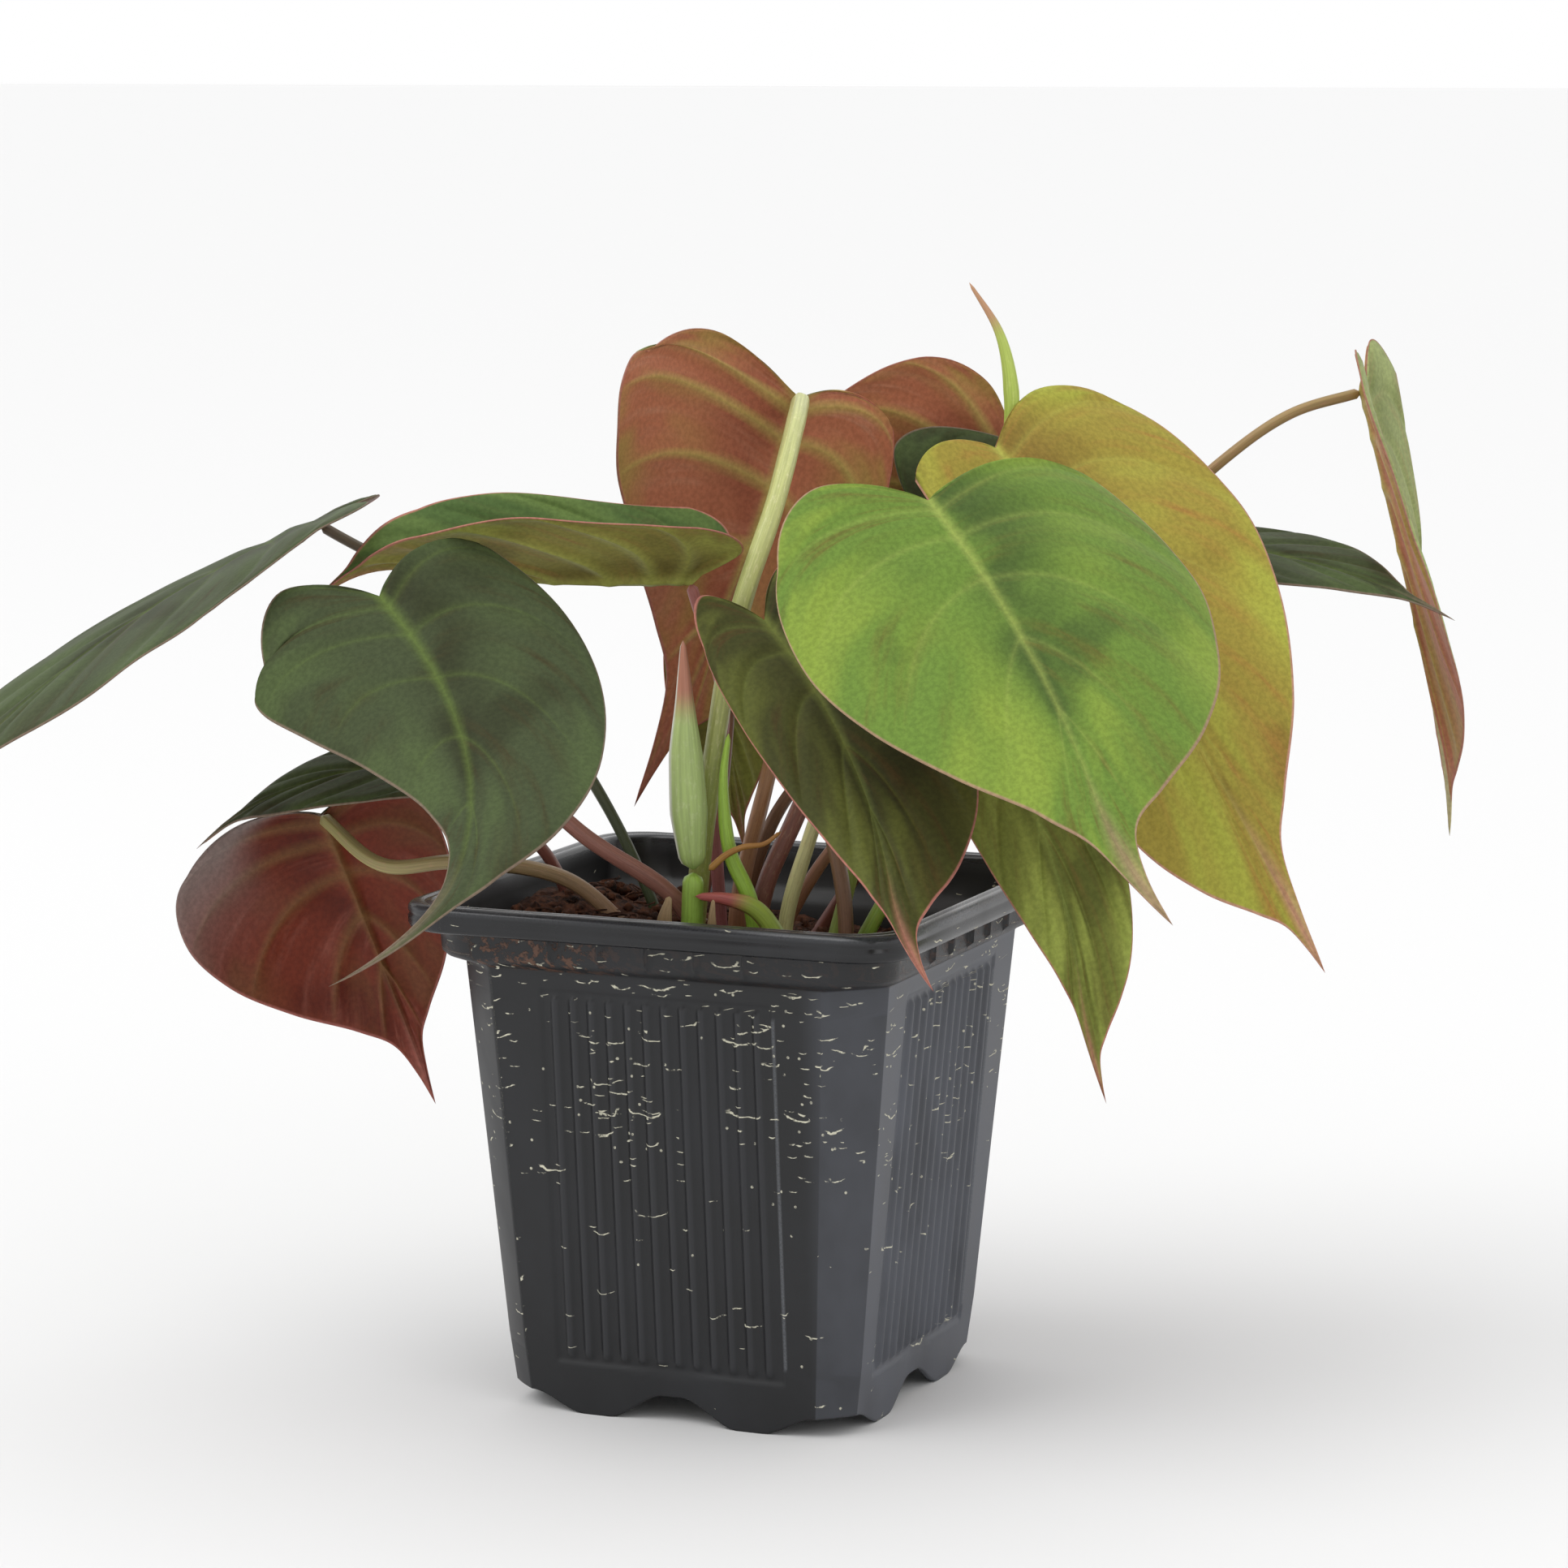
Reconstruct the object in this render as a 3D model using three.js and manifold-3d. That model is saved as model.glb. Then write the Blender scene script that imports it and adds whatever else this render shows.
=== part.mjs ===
// A heart-leaved philodendron in its 9 cm square nursery pot.
// Millimetres, +Z up. The origin is on the surface that the pot stands on, below the middle of the
// whole plant's box. The plant is set out in axes of its own, turned in the pot about Z.
import * as THREE from 'three';
import { mergeVertices } from 'three/addons/utils/BufferGeometryUtils.js';
import Module from 'manifold-3d';

const wasm = await Module();
wasm.setup();

// ---------- driving dimensions ----------
const DEG = Math.PI / 180;

const POT_HEIGHT = 87.5;
const RIM_HALF = 45;            // half the outer side of the rim: a 9 cm pot
const RIM_CORNER = 9;
const RIM_INNER_HALF = 41;
const BODY_TOP_HALF = 38.3;
const BODY_BOTTOM_HALF = 31.2;
const BODY_TOP_Z = 77;
const CHAMFER_TOP = 8.3;
const CHAMFER_BOTTOM = 5.2;
const BAND_HALF = 40.9;         // the upright band between the sloping body and the rim
const SHOULDER = 1.4;           // how far the wall runs outwards and upwards into that band
const RIM_DEPTH = 4.6;
const RIM_ROUNDING = 0.8;
const CORNER_STEPS = 3;
const WALL = 1;
const INNER_CUT = 0.6;          // the corners are cut this much less on the inside
const FLOOR_Z = 7.5;
const FLOOR_THICKNESS = 1.2;

const RIBS_PER_FACE = 12;
const RIB_PITCH = 3.3;
const RIB_WIDTH = 1.7;
const RIB_PROUD = 0.5;
const RIB_BOTTOM_Z = 10;
const RIB_TOP_Z = 72;

const SIDE_ARCH = { bottom: 21, top: 10, height: 4.6 };
const CORNER_ARCH = { bottom: 15, top: 7.4, height: 3.4 };
const DRAIN_HOLE_RADIUS = 3;
const DRAIN_HOLE_CIRCLE = 17;
const DRAIN_HOLES = 8;

const SOIL_GAP = 0.4;
const SOIL_MIDDLE_Z = 76.5;
const SOIL_SLOPE = 0.1;         // the compost lies higher on the plant's left
const SOIL_SHOULDER = 6;        // the wall ring of the compost is measured this far below its surface

const PLANT_TURN = 22.6 * DEG;
const LEAF_THICKNESS = 0.8;
const PIECE_GAP = 0.4;
const ROOTED_DEPTH = 4;
const STEM_SIDES = 8;

// ---------- materials ----------
const finish = (color, roughness) => new THREE.MeshStandardMaterial({ color, roughness, metalness: 0 });
const potPlastic = () => finish(0x35363b, 0.5);
const compost = () => finish(0x4a2f22, 1);

const LEAF_COLOURS = {
  bright: 0x5f8f3c,
  lime: 0x9aa04c,
  olive: 0x5c6b39,
  moss: 0x7a8440,
  dark: 0x42553d,
  copper: 0x9a5f47,
  brick: 0x7d4036,
};

// ---------- general geometry ----------
function closedGeometry(points, triangles) {
  const geometry = new THREE.BufferGeometry();
  geometry.setAttribute('position', new THREE.Float32BufferAttribute(points.flatMap((p) => p.toArray()), 3));
  geometry.setIndex(triangles.flat());
  const merged = mergeVertices(geometry, 1e-4);
  const index = merged.getIndex().array;
  const kept = [];
  for (let i = 0; i < index.length; i += 3) {
    const [a, b, c] = [index[i], index[i + 1], index[i + 2]];
    if (a !== b && b !== c && c !== a) kept.push(a, b, c);
  }
  merged.setIndex(kept);
  return merged;
}

// Skins a stack of equal rings, and closes both ends with a fan to a centre point.
function loftGeometry(rings, firstCentre, lastCentre) {
  const count = rings[0].length;
  const points = rings.flat();
  const triangles = [];
  for (let r = 0; r + 1 < rings.length; r += 1) {
    for (let i = 0; i < count; i += 1) {
      const j = (i + 1) % count;
      const [a, b, c, d] = [r * count + i, r * count + j, (r + 1) * count + j, (r + 1) * count + i];
      triangles.push([a, b, c], [a, c, d]);
    }
  }
  const first = points.length;
  const last = first + 1;
  points.push(firstCentre, lastCentre);
  const top = (rings.length - 1) * count;
  for (let i = 0; i < count; i += 1) {
    const j = (i + 1) % count;
    triangles.push([first, j, i], [last, top + i, top + j]);
  }
  return closedGeometry(points, triangles);
}

function toSolid(geometry) {
  const plain = geometry.clone();
  plain.deleteAttribute('normal');
  plain.deleteAttribute('uv');
  const merged = mergeVertices(plain, 1e-4);
  const vertProperties = new Float32Array(merged.getAttribute('position').array);
  const triVerts = new Uint32Array(merged.getIndex().array);
  return new wasm.Manifold(new wasm.Mesh({ numProp: 3, vertProperties, triVerts }));
}

function fromSolid(solid) {
  const { vertProperties, triVerts } = solid.getMesh();
  const geometry = new THREE.BufferGeometry();
  geometry.setAttribute('position', new THREE.BufferAttribute(vertProperties, 3));
  geometry.setIndex(new THREE.BufferAttribute(triVerts, 1));
  return geometry;
}

// A stem, sheath or root: round rings along a smooth curve, with the radius changing along it.
function stemGeometry(route, radii, { flat = 1, steps = 4 * (route.length - 1), grow = 0 } = {}) {
  const curve = new THREE.CatmullRomCurve3(route.map((p) => new THREE.Vector3(...p)));
  const frames = curve.computeFrenetFrames(steps);
  const rings = [];
  for (let k = 0; k <= steps; k += 1) {
    const t = (k / steps) * (radii.length - 1);
    const low = Math.min(Math.floor(t), radii.length - 2);
    const radius = THREE.MathUtils.lerp(radii[low], radii[low + 1], t - low) + grow;
    const centre = curve.getPointAt(k / steps);
    const ring = [];
    for (let i = 0; i < STEM_SIDES; i += 1) {
      const angle = (i / STEM_SIDES) * 2 * Math.PI;
      ring.push(centre.clone()
        .addScaledVector(frames.normals[k], radius * Math.cos(angle))
        .addScaledVector(frames.binormals[k], radius * flat * Math.sin(angle)));
    }
    rings.push(ring);
  }
  return loftGeometry(rings, curve.getPoint(0), curve.getPoint(1));
}

// ---------- pot ----------
// A square ring with its corners cut. round 0 leaves flat chamfers, round 1 makes arcs.
function squareRing(half, cut, z, round = 0) {
  const ring = [];
  for (let corner = 0; corner < 4; corner += 1) {
    for (let k = 0; k <= CORNER_STEPS; k += 1) {
      const share = k / CORNER_STEPS;
      const angle = share * (Math.PI / 2);
      const straight = [half - cut * share, half - cut + cut * share];
      const arc = [half - cut + cut * Math.cos(angle), half - cut + cut * Math.sin(angle)];
      const x = THREE.MathUtils.lerp(straight[0], arc[0], round);
      const y = THREE.MathUtils.lerp(straight[1], arc[1], round);
      ring.push(new THREE.Vector3(x, y, z).applyAxisAngle(new THREE.Vector3(0, 0, 1), corner * Math.PI / 2));
    }
  }
  return ring;
}

const bodyHalf = (z) => THREE.MathUtils.lerp(BODY_BOTTOM_HALF, BODY_TOP_HALF, z / BODY_TOP_Z);
const bodyCut = (z) => THREE.MathUtils.lerp(CHAMFER_BOTTOM, CHAMFER_TOP, z / BODY_TOP_Z);

function potShell() {
  const underFloor = FLOOR_Z - FLOOR_THICKNESS;
  const rings = [
    squareRing(bodyHalf(underFloor) - WALL, bodyCut(0), underFloor),
    squareRing(bodyHalf(0) - WALL, bodyCut(0), 0),
    squareRing(bodyHalf(0), bodyCut(0), 0),
    squareRing(bodyHalf(BODY_TOP_Z), CHAMFER_TOP, BODY_TOP_Z),
    squareRing(BAND_HALF - 0.6, CHAMFER_TOP, BODY_TOP_Z + SHOULDER, 0.6),
    squareRing(BAND_HALF, CHAMFER_TOP, POT_HEIGHT - RIM_DEPTH - 0.4, 0.8),
    squareRing(RIM_HALF - RIM_ROUNDING, RIM_CORNER, POT_HEIGHT - RIM_DEPTH, 1),
    squareRing(RIM_HALF, RIM_CORNER, POT_HEIGHT - RIM_DEPTH + RIM_ROUNDING, 1),
    squareRing(RIM_HALF, RIM_CORNER, POT_HEIGHT - RIM_ROUNDING, 1),
    squareRing(RIM_HALF - RIM_ROUNDING, RIM_CORNER, POT_HEIGHT, 1),
    squareRing(RIM_INNER_HALF + RIM_ROUNDING, CHAMFER_TOP, POT_HEIGHT, 1),
    squareRing(RIM_INNER_HALF, CHAMFER_TOP, POT_HEIGHT - RIM_ROUNDING, 1),
    squareRing(RIM_INNER_HALF - SHOULDER, CHAMFER_TOP, BODY_TOP_Z + 2 * SHOULDER, 0.6),
    squareRing(bodyHalf(BODY_TOP_Z) - WALL, CHAMFER_TOP - INNER_CUT, BODY_TOP_Z),
    squareRing(bodyHalf(FLOOR_Z) - WALL, bodyCut(FLOOR_Z) - INNER_CUT, FLOOR_Z),
  ];
  return loftGeometry(rings, new THREE.Vector3(0, 0, underFloor), new THREE.Vector3(0, 0, FLOOR_Z));
}

// One upright rib, lying on the sloping wall.
function ribGeometry(across, turn) {
  const depth = 2 * RIB_PROUD;
  const lean = Math.atan((BODY_TOP_HALF - BODY_BOTTOM_HALF) / BODY_TOP_Z);
  const middle = (RIB_BOTTOM_Z + RIB_TOP_Z) / 2;
  const rib = new THREE.BoxGeometry(RIB_WIDTH, depth, RIB_TOP_Z - RIB_BOTTOM_Z);
  rib.rotateX(lean);
  rib.translate(across, -bodyHalf(middle), middle);
  rib.rotateZ(turn);
  return rib;
}

// A tunnel right through under the floor, which leaves an arch in two opposite sides of the skirt.
function archGeometry({ bottom, top, height }, turn) {
  const outline = new THREE.Shape([
    new THREE.Vector2(-bottom / 2, -1),
    new THREE.Vector2(bottom / 2, -1),
    new THREE.Vector2(bottom / 2, 0),
    new THREE.Vector2(top / 2, height),
    new THREE.Vector2(-top / 2, height),
    new THREE.Vector2(-bottom / 2, 0),
  ]);
  const length = 4 * BODY_BOTTOM_HALF;
  const tunnel = new THREE.ExtrudeGeometry(outline, { depth: length, bevelEnabled: false });
  tunnel.translate(0, 0, -length / 2);
  tunnel.rotateX(Math.PI / 2);
  tunnel.rotateZ(turn);
  return tunnel;
}

function drainHole(turn) {
  const hole = new THREE.CylinderGeometry(DRAIN_HOLE_RADIUS, DRAIN_HOLE_RADIUS, 4 * FLOOR_THICKNESS, 10);
  hole.rotateX(Math.PI / 2);
  hole.translate(DRAIN_HOLE_CIRCLE, 0, FLOOR_Z - FLOOR_THICKNESS / 2);
  hole.rotateZ(turn);
  return hole;
}

function potGeometry() {
  let pot = toSolid(potShell());
  for (let face = 0; face < 4; face += 1) {
    for (let k = 0; k < RIBS_PER_FACE; k += 1) {
      const across = (k - (RIBS_PER_FACE - 1) / 2) * RIB_PITCH;
      pot = pot.add(toSolid(ribGeometry(across, face * Math.PI / 2)));
    }
  }
  for (const quarter of [0, 1]) {
    pot = pot.subtract(toSolid(archGeometry(SIDE_ARCH, quarter * Math.PI / 2)));
    pot = pot.subtract(toSolid(archGeometry(CORNER_ARCH, (quarter + 0.5) * Math.PI / 2)));
  }
  for (let k = 0; k < DRAIN_HOLES; k += 1) {
    pot = pot.subtract(toSolid(drainHole(((k + 0.5) / DRAIN_HOLES) * 2 * Math.PI)));
  }
  return fromSolid(pot);
}

// ---------- leaves ----------
// The blade's half outline, from the notch where the petiole meets it, round one lobe, to the tip.
// The first number runs along the midrib (0 notch, 1 tip), the second across (1 is the half width).
const HALF_OUTLINE = [
  [0, 0], [-0.07, 0.2], [-0.11, 0.48], [-0.04, 0.78], [0.12, 0.97], [0.3, 1],
  [0.48, 0.86], [0.64, 0.58], [0.76, 0.26], [0.83, 0.1], [0.91, 0.04], [1, 0],
];
const SIDE_STEPS = 3;
const LOBE_ROWS = 0.2;          // the share of the outline whose veins all start at the notch
const VEIN_SPREAD = 1.6;
const MIDRIB_STEPS = 30;
const DRIP_TIP_FROM = 0.72;

// Every leaf, in the plant's axes: x to the right of its broad front, y to the back, z up.
// at: the notch. along: where the midrib sets out. faces: where the upper side looks.
// droop, sweep and twist: how far the midrib bends down, bends to its right and turns, in degrees;
// tipDroop and tipSweep: the same over the drip tip alone.
// lift and curl, each [left, right]: how steeply a half rises from the midrib, and how much more
// it bends by its edge, in degrees. Also [left, right]: lobes, how far each lobe reaches back;
// halves, how wide each half is beside the plain half width; belly, below 1 where a half is
// widest nearer the tip and above 1 where it is widest nearer the notch.
const LEAVES = {
  leaf_front: {
    at: [30, -38, 156], along: [5.1, -6.1, -6], faces: [1.3, -6.4, 7.6], length: 89, width: 67,
    sweep: 21, tipSweep: -31, droop: 7, tipDroop: 6, twist: 6,
    lobes: [0.3, 1.1], halves: [1.2, 1], belly: [1.15, 1.1], curl: [-26, -24], tone: 'bright',
  },
  leaf_right_large: {
    at: [42.5, 0, 161.5], along: [5.8, -4.1, -7.1], faces: [3.6, -6.5, 6.7], length: 105, width: 62,
    sweep: 2, droop: 19, tipDroop: -3, twist: 19,
    lobes: [0.65, 0.3], halves: [1.17, 0.7], belly: [1.2, 0.5], curl: [-4, -13], tone: 'lime',
  },
  leaf_front_low: {
    at: [3.5, -24, 135], along: [5.4, -6, -5.9], faces: [0.2, -6.8, 7.3], length: 82, width: 39,
    sweep: 35, tipSweep: -28, droop: -2, tipDroop: -8, twist: 2,
    lobes: [1, 1.1], halves: [1.1, 0.7], belly: [0.9, 1.15], curl: [-14, -15], tone: 'olive',
  },
  leaf_right_hanging: {
    at: [37, -22, 124], along: [5.6, -1.6, -8.1], faces: [0.8, -9.6, 2.5], length: 74, width: 26,
    sweep: 36, tipSweep: -22, droop: 11, tipDroop: 2,
    halves: [0.9, 0.95], belly: [0.6, 1.25], curl: [-12, -2], tone: 'moss',
  },
  leaf_top: {
    at: [9.3, 26.5, 168], along: [-3, -0.6, -9.5], faces: [-2.8, 9.6, 0.3], length: 77, width: 64,
    sweep: -16, tipSweep: 5, droop: 17, tipDroop: -8, twist: -7,
    lobes: [0.8, 0.4], halves: [1.45, 0.7], belly: [1.8, 1.05], curl: [-33, -5], lift: [-8, 9],
    tone: 'copper',
  },
  leaf_top_back: {
    at: [48, 50, 155], along: [-7.6, 0.3, -6.5], faces: [-0.5, 9.9, 1], length: 69, width: 55,
    sweep: -8, droop: 10, lobes: [0.75, 1], halves: [1.12, 1], curl: [-15, -2], tone: 'copper',
  },
  leaf_folded_left: {
    at: [-9, -5, 140], along: [-9.9, -0.8, -0.5], faces: [-0.4, -1.2, 9.9], length: 65, width: 37,
    droop: -15, tipDroop: 60, lobes: [1.2, 1], halves: [1.2, 0.83], belly: [0.75, 0.6], lift: [38, 55],
    tone: 'moss',
  },
  leaf_left_heart: {
    at: [-59.4, -30, 139.6], along: [5.8, -6.1, -5.4], faces: [-1.4, -7.3, 6.7], length: 104, width: 45,
    sweep: 55, tipSweep: 59, droop: -39, tipDroop: 25, twist: 2,
    lobes: [0.25, 1.1], halves: [1.1, 1.2], belly: [1.1, 2.4], curl: [-25, -15], tone: 'dark',
  },
  leaf_far_left: {
    at: [-72.5, 6, 148.6], along: [-9.1, -1, -3.9], faces: [-4, 0.2, 9.2], length: 92, width: 59,
    sweep: -36, droop: 22, twist: -18, lobes: [0.9, 1.1], halves: [1.14, 1.08], belly: [1, 0.92],
    curl: [-2, -10], tone: 'dark',
  },
  leaf_low_left: {
    at: [-48, 2, 107], along: [-9.5, 0, 1], faces: [0, -3, 9.5], length: 51, width: 27,
    droop: 50, tone: 'dark',
  },
  leaf_left_hanging: {
    at: [-73.5, 14, 97], along: [3.1, 3.3, -8.9], faces: [-1.2, 9.5, 3.1], length: 58, width: 50,
    droop: 17, twist: 3, lobes: [0.6, 0], halves: [1.24, 0.75], belly: [1.25, 1.25],
    curl: [-29, -24], tone: 'brick',
  },
  leaf_far_right: {
    at: [109.2, 38, 168.5], along: [2.4, -0.1, -9.6], faces: [9.6, -1.5, 4.1], length: 82, width: 35,
    sweep: -6, tipSweep: -8, droop: 2, tipDroop: 5, twist: -32,
    lobes: [0.9, 0.9], belly: [0.65, 0.65], lift: [19, 2], tone: 'copper',
  },
  leaf_right_back: {
    at: [78, 33, 142], along: [8.8, -5, 0], faces: [1, -2.5, 9.7], length: 51, width: 30,
    droop: 25, tone: 'dark',
  },
  leaf_back: {
    at: [30, 41, 147], along: [7.5, 0, -4], faces: [1, -9, 2], length: 78, width: 40,
    droop: 8, tone: 'dark',
  },
  leaf_back_low: {
    at: [-6, 33, 128], along: [1, -0.5, -9.8], faces: [-5, 8, 0], length: 42, width: 22,
    droop: 10, tone: 'olive',
  },
};

function halfOutline() {
  return new THREE.CatmullRomCurve3(HALF_OUTLINE.map(([a, b]) => new THREE.Vector3(a, b, 0)));
}

// The midrib's frames (place, along, right, up) from the notch to the tip.
function midribFrames(leaf) {
  const { droop = 0, sweep = 0, twist = 0, tipDroop = 0, tipSweep = 0 } = leaf;
  const along = new THREE.Vector3(...leaf.along).normalize();
  const up = new THREE.Vector3(...leaf.faces).normalize();
  const right = along.clone().cross(up).normalize();
  up.copy(right).cross(along);
  const place = new THREE.Vector3(...leaf.at);
  const frames = [];
  for (let k = 0; k <= MIDRIB_STEPS; k += 1) {
    frames.push({ place: place.clone(), along: along.clone(), right: right.clone(), up: up.clone() });
    const inTip = k / MIDRIB_STEPS >= DRIP_TIP_FROM ? 1 / (1 - DRIP_TIP_FROM) : 0;
    const turns = [
      [right, -(droop + tipDroop * inTip)],
      [up.clone(), -(sweep + tipSweep * inTip)],
      [along.clone(), twist],
    ];
    for (const [axis, degrees] of turns) {
      const about = axis.clone();
      for (const v of [along, right, up]) v.applyAxisAngle(about, (degrees * DEG) / MIDRIB_STEPS);
    }
    place.addScaledVector(along, leaf.length / MIDRIB_STEPS);
  }
  return frames;
}

// Carries a flat point of the blade, a along and b to the right in millimetres, onto the bent leaf.
function bladePoint(leaf, frames, a, b) {
  const { lift = [0, 0], curl = [0, 0] } = leaf;
  const k = THREE.MathUtils.clamp((a / leaf.length) * MIDRIB_STEPS, 0, MIDRIB_STEPS);
  const low = Math.min(Math.floor(k), MIDRIB_STEPS - 1);
  const mix = (name) => frames[low][name].clone().lerp(frames[low + 1][name], k - low);
  const frame = { place: mix('place'), along: mix('along'), right: mix('right'), up: mix('up') };
  const side = b < 0 ? 0 : 1;
  const start = lift[side] * DEG;
  const bend = (curl[side] * DEG) / (leaf.width / 2);
  const s = Math.abs(b);
  const end = start + bend * s;
  const out = Math.abs(bend) < 1e-6 ? s * Math.cos(start) : (Math.sin(end) - Math.sin(start)) / bend;
  const rise = Math.abs(bend) < 1e-6 ? s * Math.sin(start) : (Math.cos(start) - Math.cos(end)) / bend;
  const sign = b < 0 ? -1 : 1;
  const place = frame.place.clone()
    .addScaledVector(frame.along, Math.min(a, 0))
    .addScaledVector(frame.right, sign * out)
    .addScaledVector(frame.up, rise);
  const tilt = s > 1e-6 ? end : 0;
  const normal = frame.up.clone().multiplyScalar(Math.cos(tilt))
    .addScaledVector(frame.right, -sign * Math.sin(tilt));
  return { place, normal };
}

// A thin closed blade: rows of points run from the midrib to the edge, on both sides and both faces.
function leafGeometry(leaf) {
  const { lobes = [1, 1], halves = [1, 1], belly = [1, 1] } = leaf;
  const frames = midribFrames(leaf);
  const outline = halfOutline();
  const rows = HALF_OUTLINE.length - 1;
  const points = [];
  const index = {};
  for (const side of [-1, 1]) {
    const hand = side < 0 ? 0 : 1;
    for (let i = 0; i <= rows; i += 1) {
      const t = i / rows;
      const edge = outline.getPoint(t);
      const foot = t <= LOBE_ROWS ? 0 : ((t - LOBE_ROWS) / (1 - LOBE_ROWS)) ** VEIN_SPREAD;
      for (let j = 0; j <= SIDE_STEPS; j += 1) {
        const share = j / SIDE_STEPS;
        const reach = edge.x < 0 ? edge.x * lobes[hand] : edge.x ** belly[hand];
        const a = THREE.MathUtils.lerp(foot, reach, share) * leaf.length;
        const b = (side * share * edge.y * halves[hand] * leaf.width) / 2;
        const { place, normal } = bladePoint(leaf, frames, a, b);
        for (const face of [-1, 1]) {
          index[[side, i, j, face]] = points.length;
          points.push(place.clone().addScaledVector(normal, (face * LEAF_THICKNESS) / 2));
        }
      }
    }
  }
  const triangles = [];
  const quad = (a, b, c, d, flip) => {
    triangles.push(...(flip ? [[a, c, b], [a, d, c]] : [[a, b, c], [a, c, d]]));
  };
  for (const side of [-1, 1]) {
    for (let i = 0; i < rows; i += 1) {
      for (let j = 0; j < SIDE_STEPS; j += 1) {
        for (const face of [-1, 1]) {
          const corner = (di, dj) => index[[side, i + di, j + dj, face]];
          quad(corner(0, 0), corner(0, 1), corner(1, 1), corner(1, 0), side * face < 0);
        }
      }
      const rim = (di, face) => index[[side, i + di, SIDE_STEPS, face]];
      quad(rim(0, -1), rim(1, -1), rim(1, 1), rim(0, 1), side < 0);
    }
  }
  return closedGeometry(points, triangles);
}

// ---------- stems ----------
// Every petiole: foot on the compost, the places it passes, the leaf it carries, and its radius
// at the foot and at the leaf.
const PETIOLES = {
  petiole_front: {
    foot: [7.5, -14], via: [[7, -14, 82], [11, -15, 97], [22, -14, 128], [27, -22, 147]],
    leaf: 'leaf_front', radii: [1.3, 1.1], colour: 0xb7b277,
  },
  petiole_right_large: {
    foot: [1.5, -8], via: [[3.4, -8, 87], [8.5, -7, 99], [28, 2, 140]],
    leaf: 'leaf_right_large', radii: [1.6, 1.2], colour: 0x8f5a4e,
  },
  petiole_front_low: {
    foot: [17, -23], via: [[16.6, -21, 89], [10, -17, 115]],
    leaf: 'leaf_front_low', radii: [1.4, 1.1], colour: 0x7c5a45,
  },
  petiole_right_hanging: {
    foot: [15, -18], via: [[22, -18, 84], [33, -15, 104]],
    leaf: 'leaf_right_hanging', radii: [1.4, 1.1], colour: 0x8fae3e,
  },
  petiole_top: {
    foot: [-9, -8], via: [[-6.5, -12, 100], [-1, -16, 134], [5, -10, 152], [8.5, 8, 164]],
    leaf: 'leaf_top', radii: [1.8, 1.6], colour: 0xb9bd7c,
  },
  petiole_top_back: {
    foot: [-1, 3], via: [[-1.2, 3, 82], [3, 10, 100], [10, 34, 120], [27.5, 45.5, 142.5]],
    leaf: 'leaf_top_back', radii: [1.5, 1.1], colour: 0x9a6b4c,
  },
  petiole_folded_left: {
    foot: [-3.5, -3], via: [[-5, -3, 103], [-3.5, -1, 118]],
    leaf: 'leaf_folded_left', radii: [1.1, 1], colour: 0xa0676b,
  },
  petiole_left_heart: {
    foot: [-5, -13.5], via: [[-11, -14, 86], [-28, -17, 99], [-47, -24, 120]],
    leaf: 'leaf_left_heart', radii: [1.5, 1.2], colour: 0x80524a,
  },
  petiole_far_left: {
    foot: [-13, 7], via: [[-17, 8, 85], [-25, 10, 101], [-45, 13, 130]],
    leaf: 'leaf_far_left', radii: [1, 0.9], colour: 0x4a5a3c,
  },
  petiole_low_left: {
    foot: [-28, 14], via: [[-34, 10, 90], [-42, 5, 99]],
    leaf: 'leaf_low_left', radii: [1.1, 1], colour: 0x8a564c,
  },
  petiole_left_hanging: {
    foot: [-15, -3], via: [[-30, 0, 87.5], [-49, 2, 90.4], [-62, 4, 89.5]],
    leaf: 'leaf_left_hanging', radii: [1.4, 1.2], colour: 0x8d7a50,
  },
  petiole_far_right: {
    foot: [4, 8], via: [[14.7, 9, 91], [50, 22, 122], [71, 40, 143], [84, 39, 156], [96, 38, 164.5]],
    leaf: 'leaf_far_right', radii: [1.1, 0.9], colour: 0x93a04a,
  },
  petiole_right_back: {
    foot: [10, 16], via: [[26, 14, 95], [54, 16, 120]],
    leaf: 'leaf_right_back', radii: [1.2, 1], colour: 0x8a564c,
  },
  petiole_back: {
    foot: [-2, 14], via: [[5, 14, 96], [23, 33, 116], [34, 45, 136]],
    leaf: 'leaf_back', radii: [1.2, 1], colour: 0x7c5a45,
  },
  petiole_back_low: {
    foot: [-9, 15], via: [[-4, 20, 100], [-3, 27, 120]],
    leaf: 'leaf_back_low', radii: [1, 0.9], colour: 0x8a564c,
  },
};

// Shoots that grow from the compost with no opened leaf on them yet.
const SHOOTS = {
  sheathed_shoot_stem: {
    foot: [-8.5, -19], via: [[-8.6, -19, 84], [-8.4, -19, 92]], radii: [1.8, 1.8], colour: 0x8fb93f,
  },
  second_shoot: {
    foot: [3, -18], via: [[1, -17, 87], [-2.3, -16, 95], [-3.4, -16, 107], [-2.5, -16, 115]],
    radii: [1.4, 1.4, 1.1, 0.4], colour: 0xa4cf45,
  },
  young_shoot: {
    foot: [7, -23], via: [[6, -23, 80.5], [2, -23, 86.5], [-3, -23, 88.2], [-8, -22.5, 88.6]],
    radii: [1.7, 1.7, 1.5, 0.5], colour: 0xb5b659,
  },
  spike_stem: {
    foot: [14, 3], via: [[22, 6, 100], [38, 9, 140], [45, 10, 160]], radii: [1.3, 1.1], colour: 0x9fb35a,
  },
};

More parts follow.
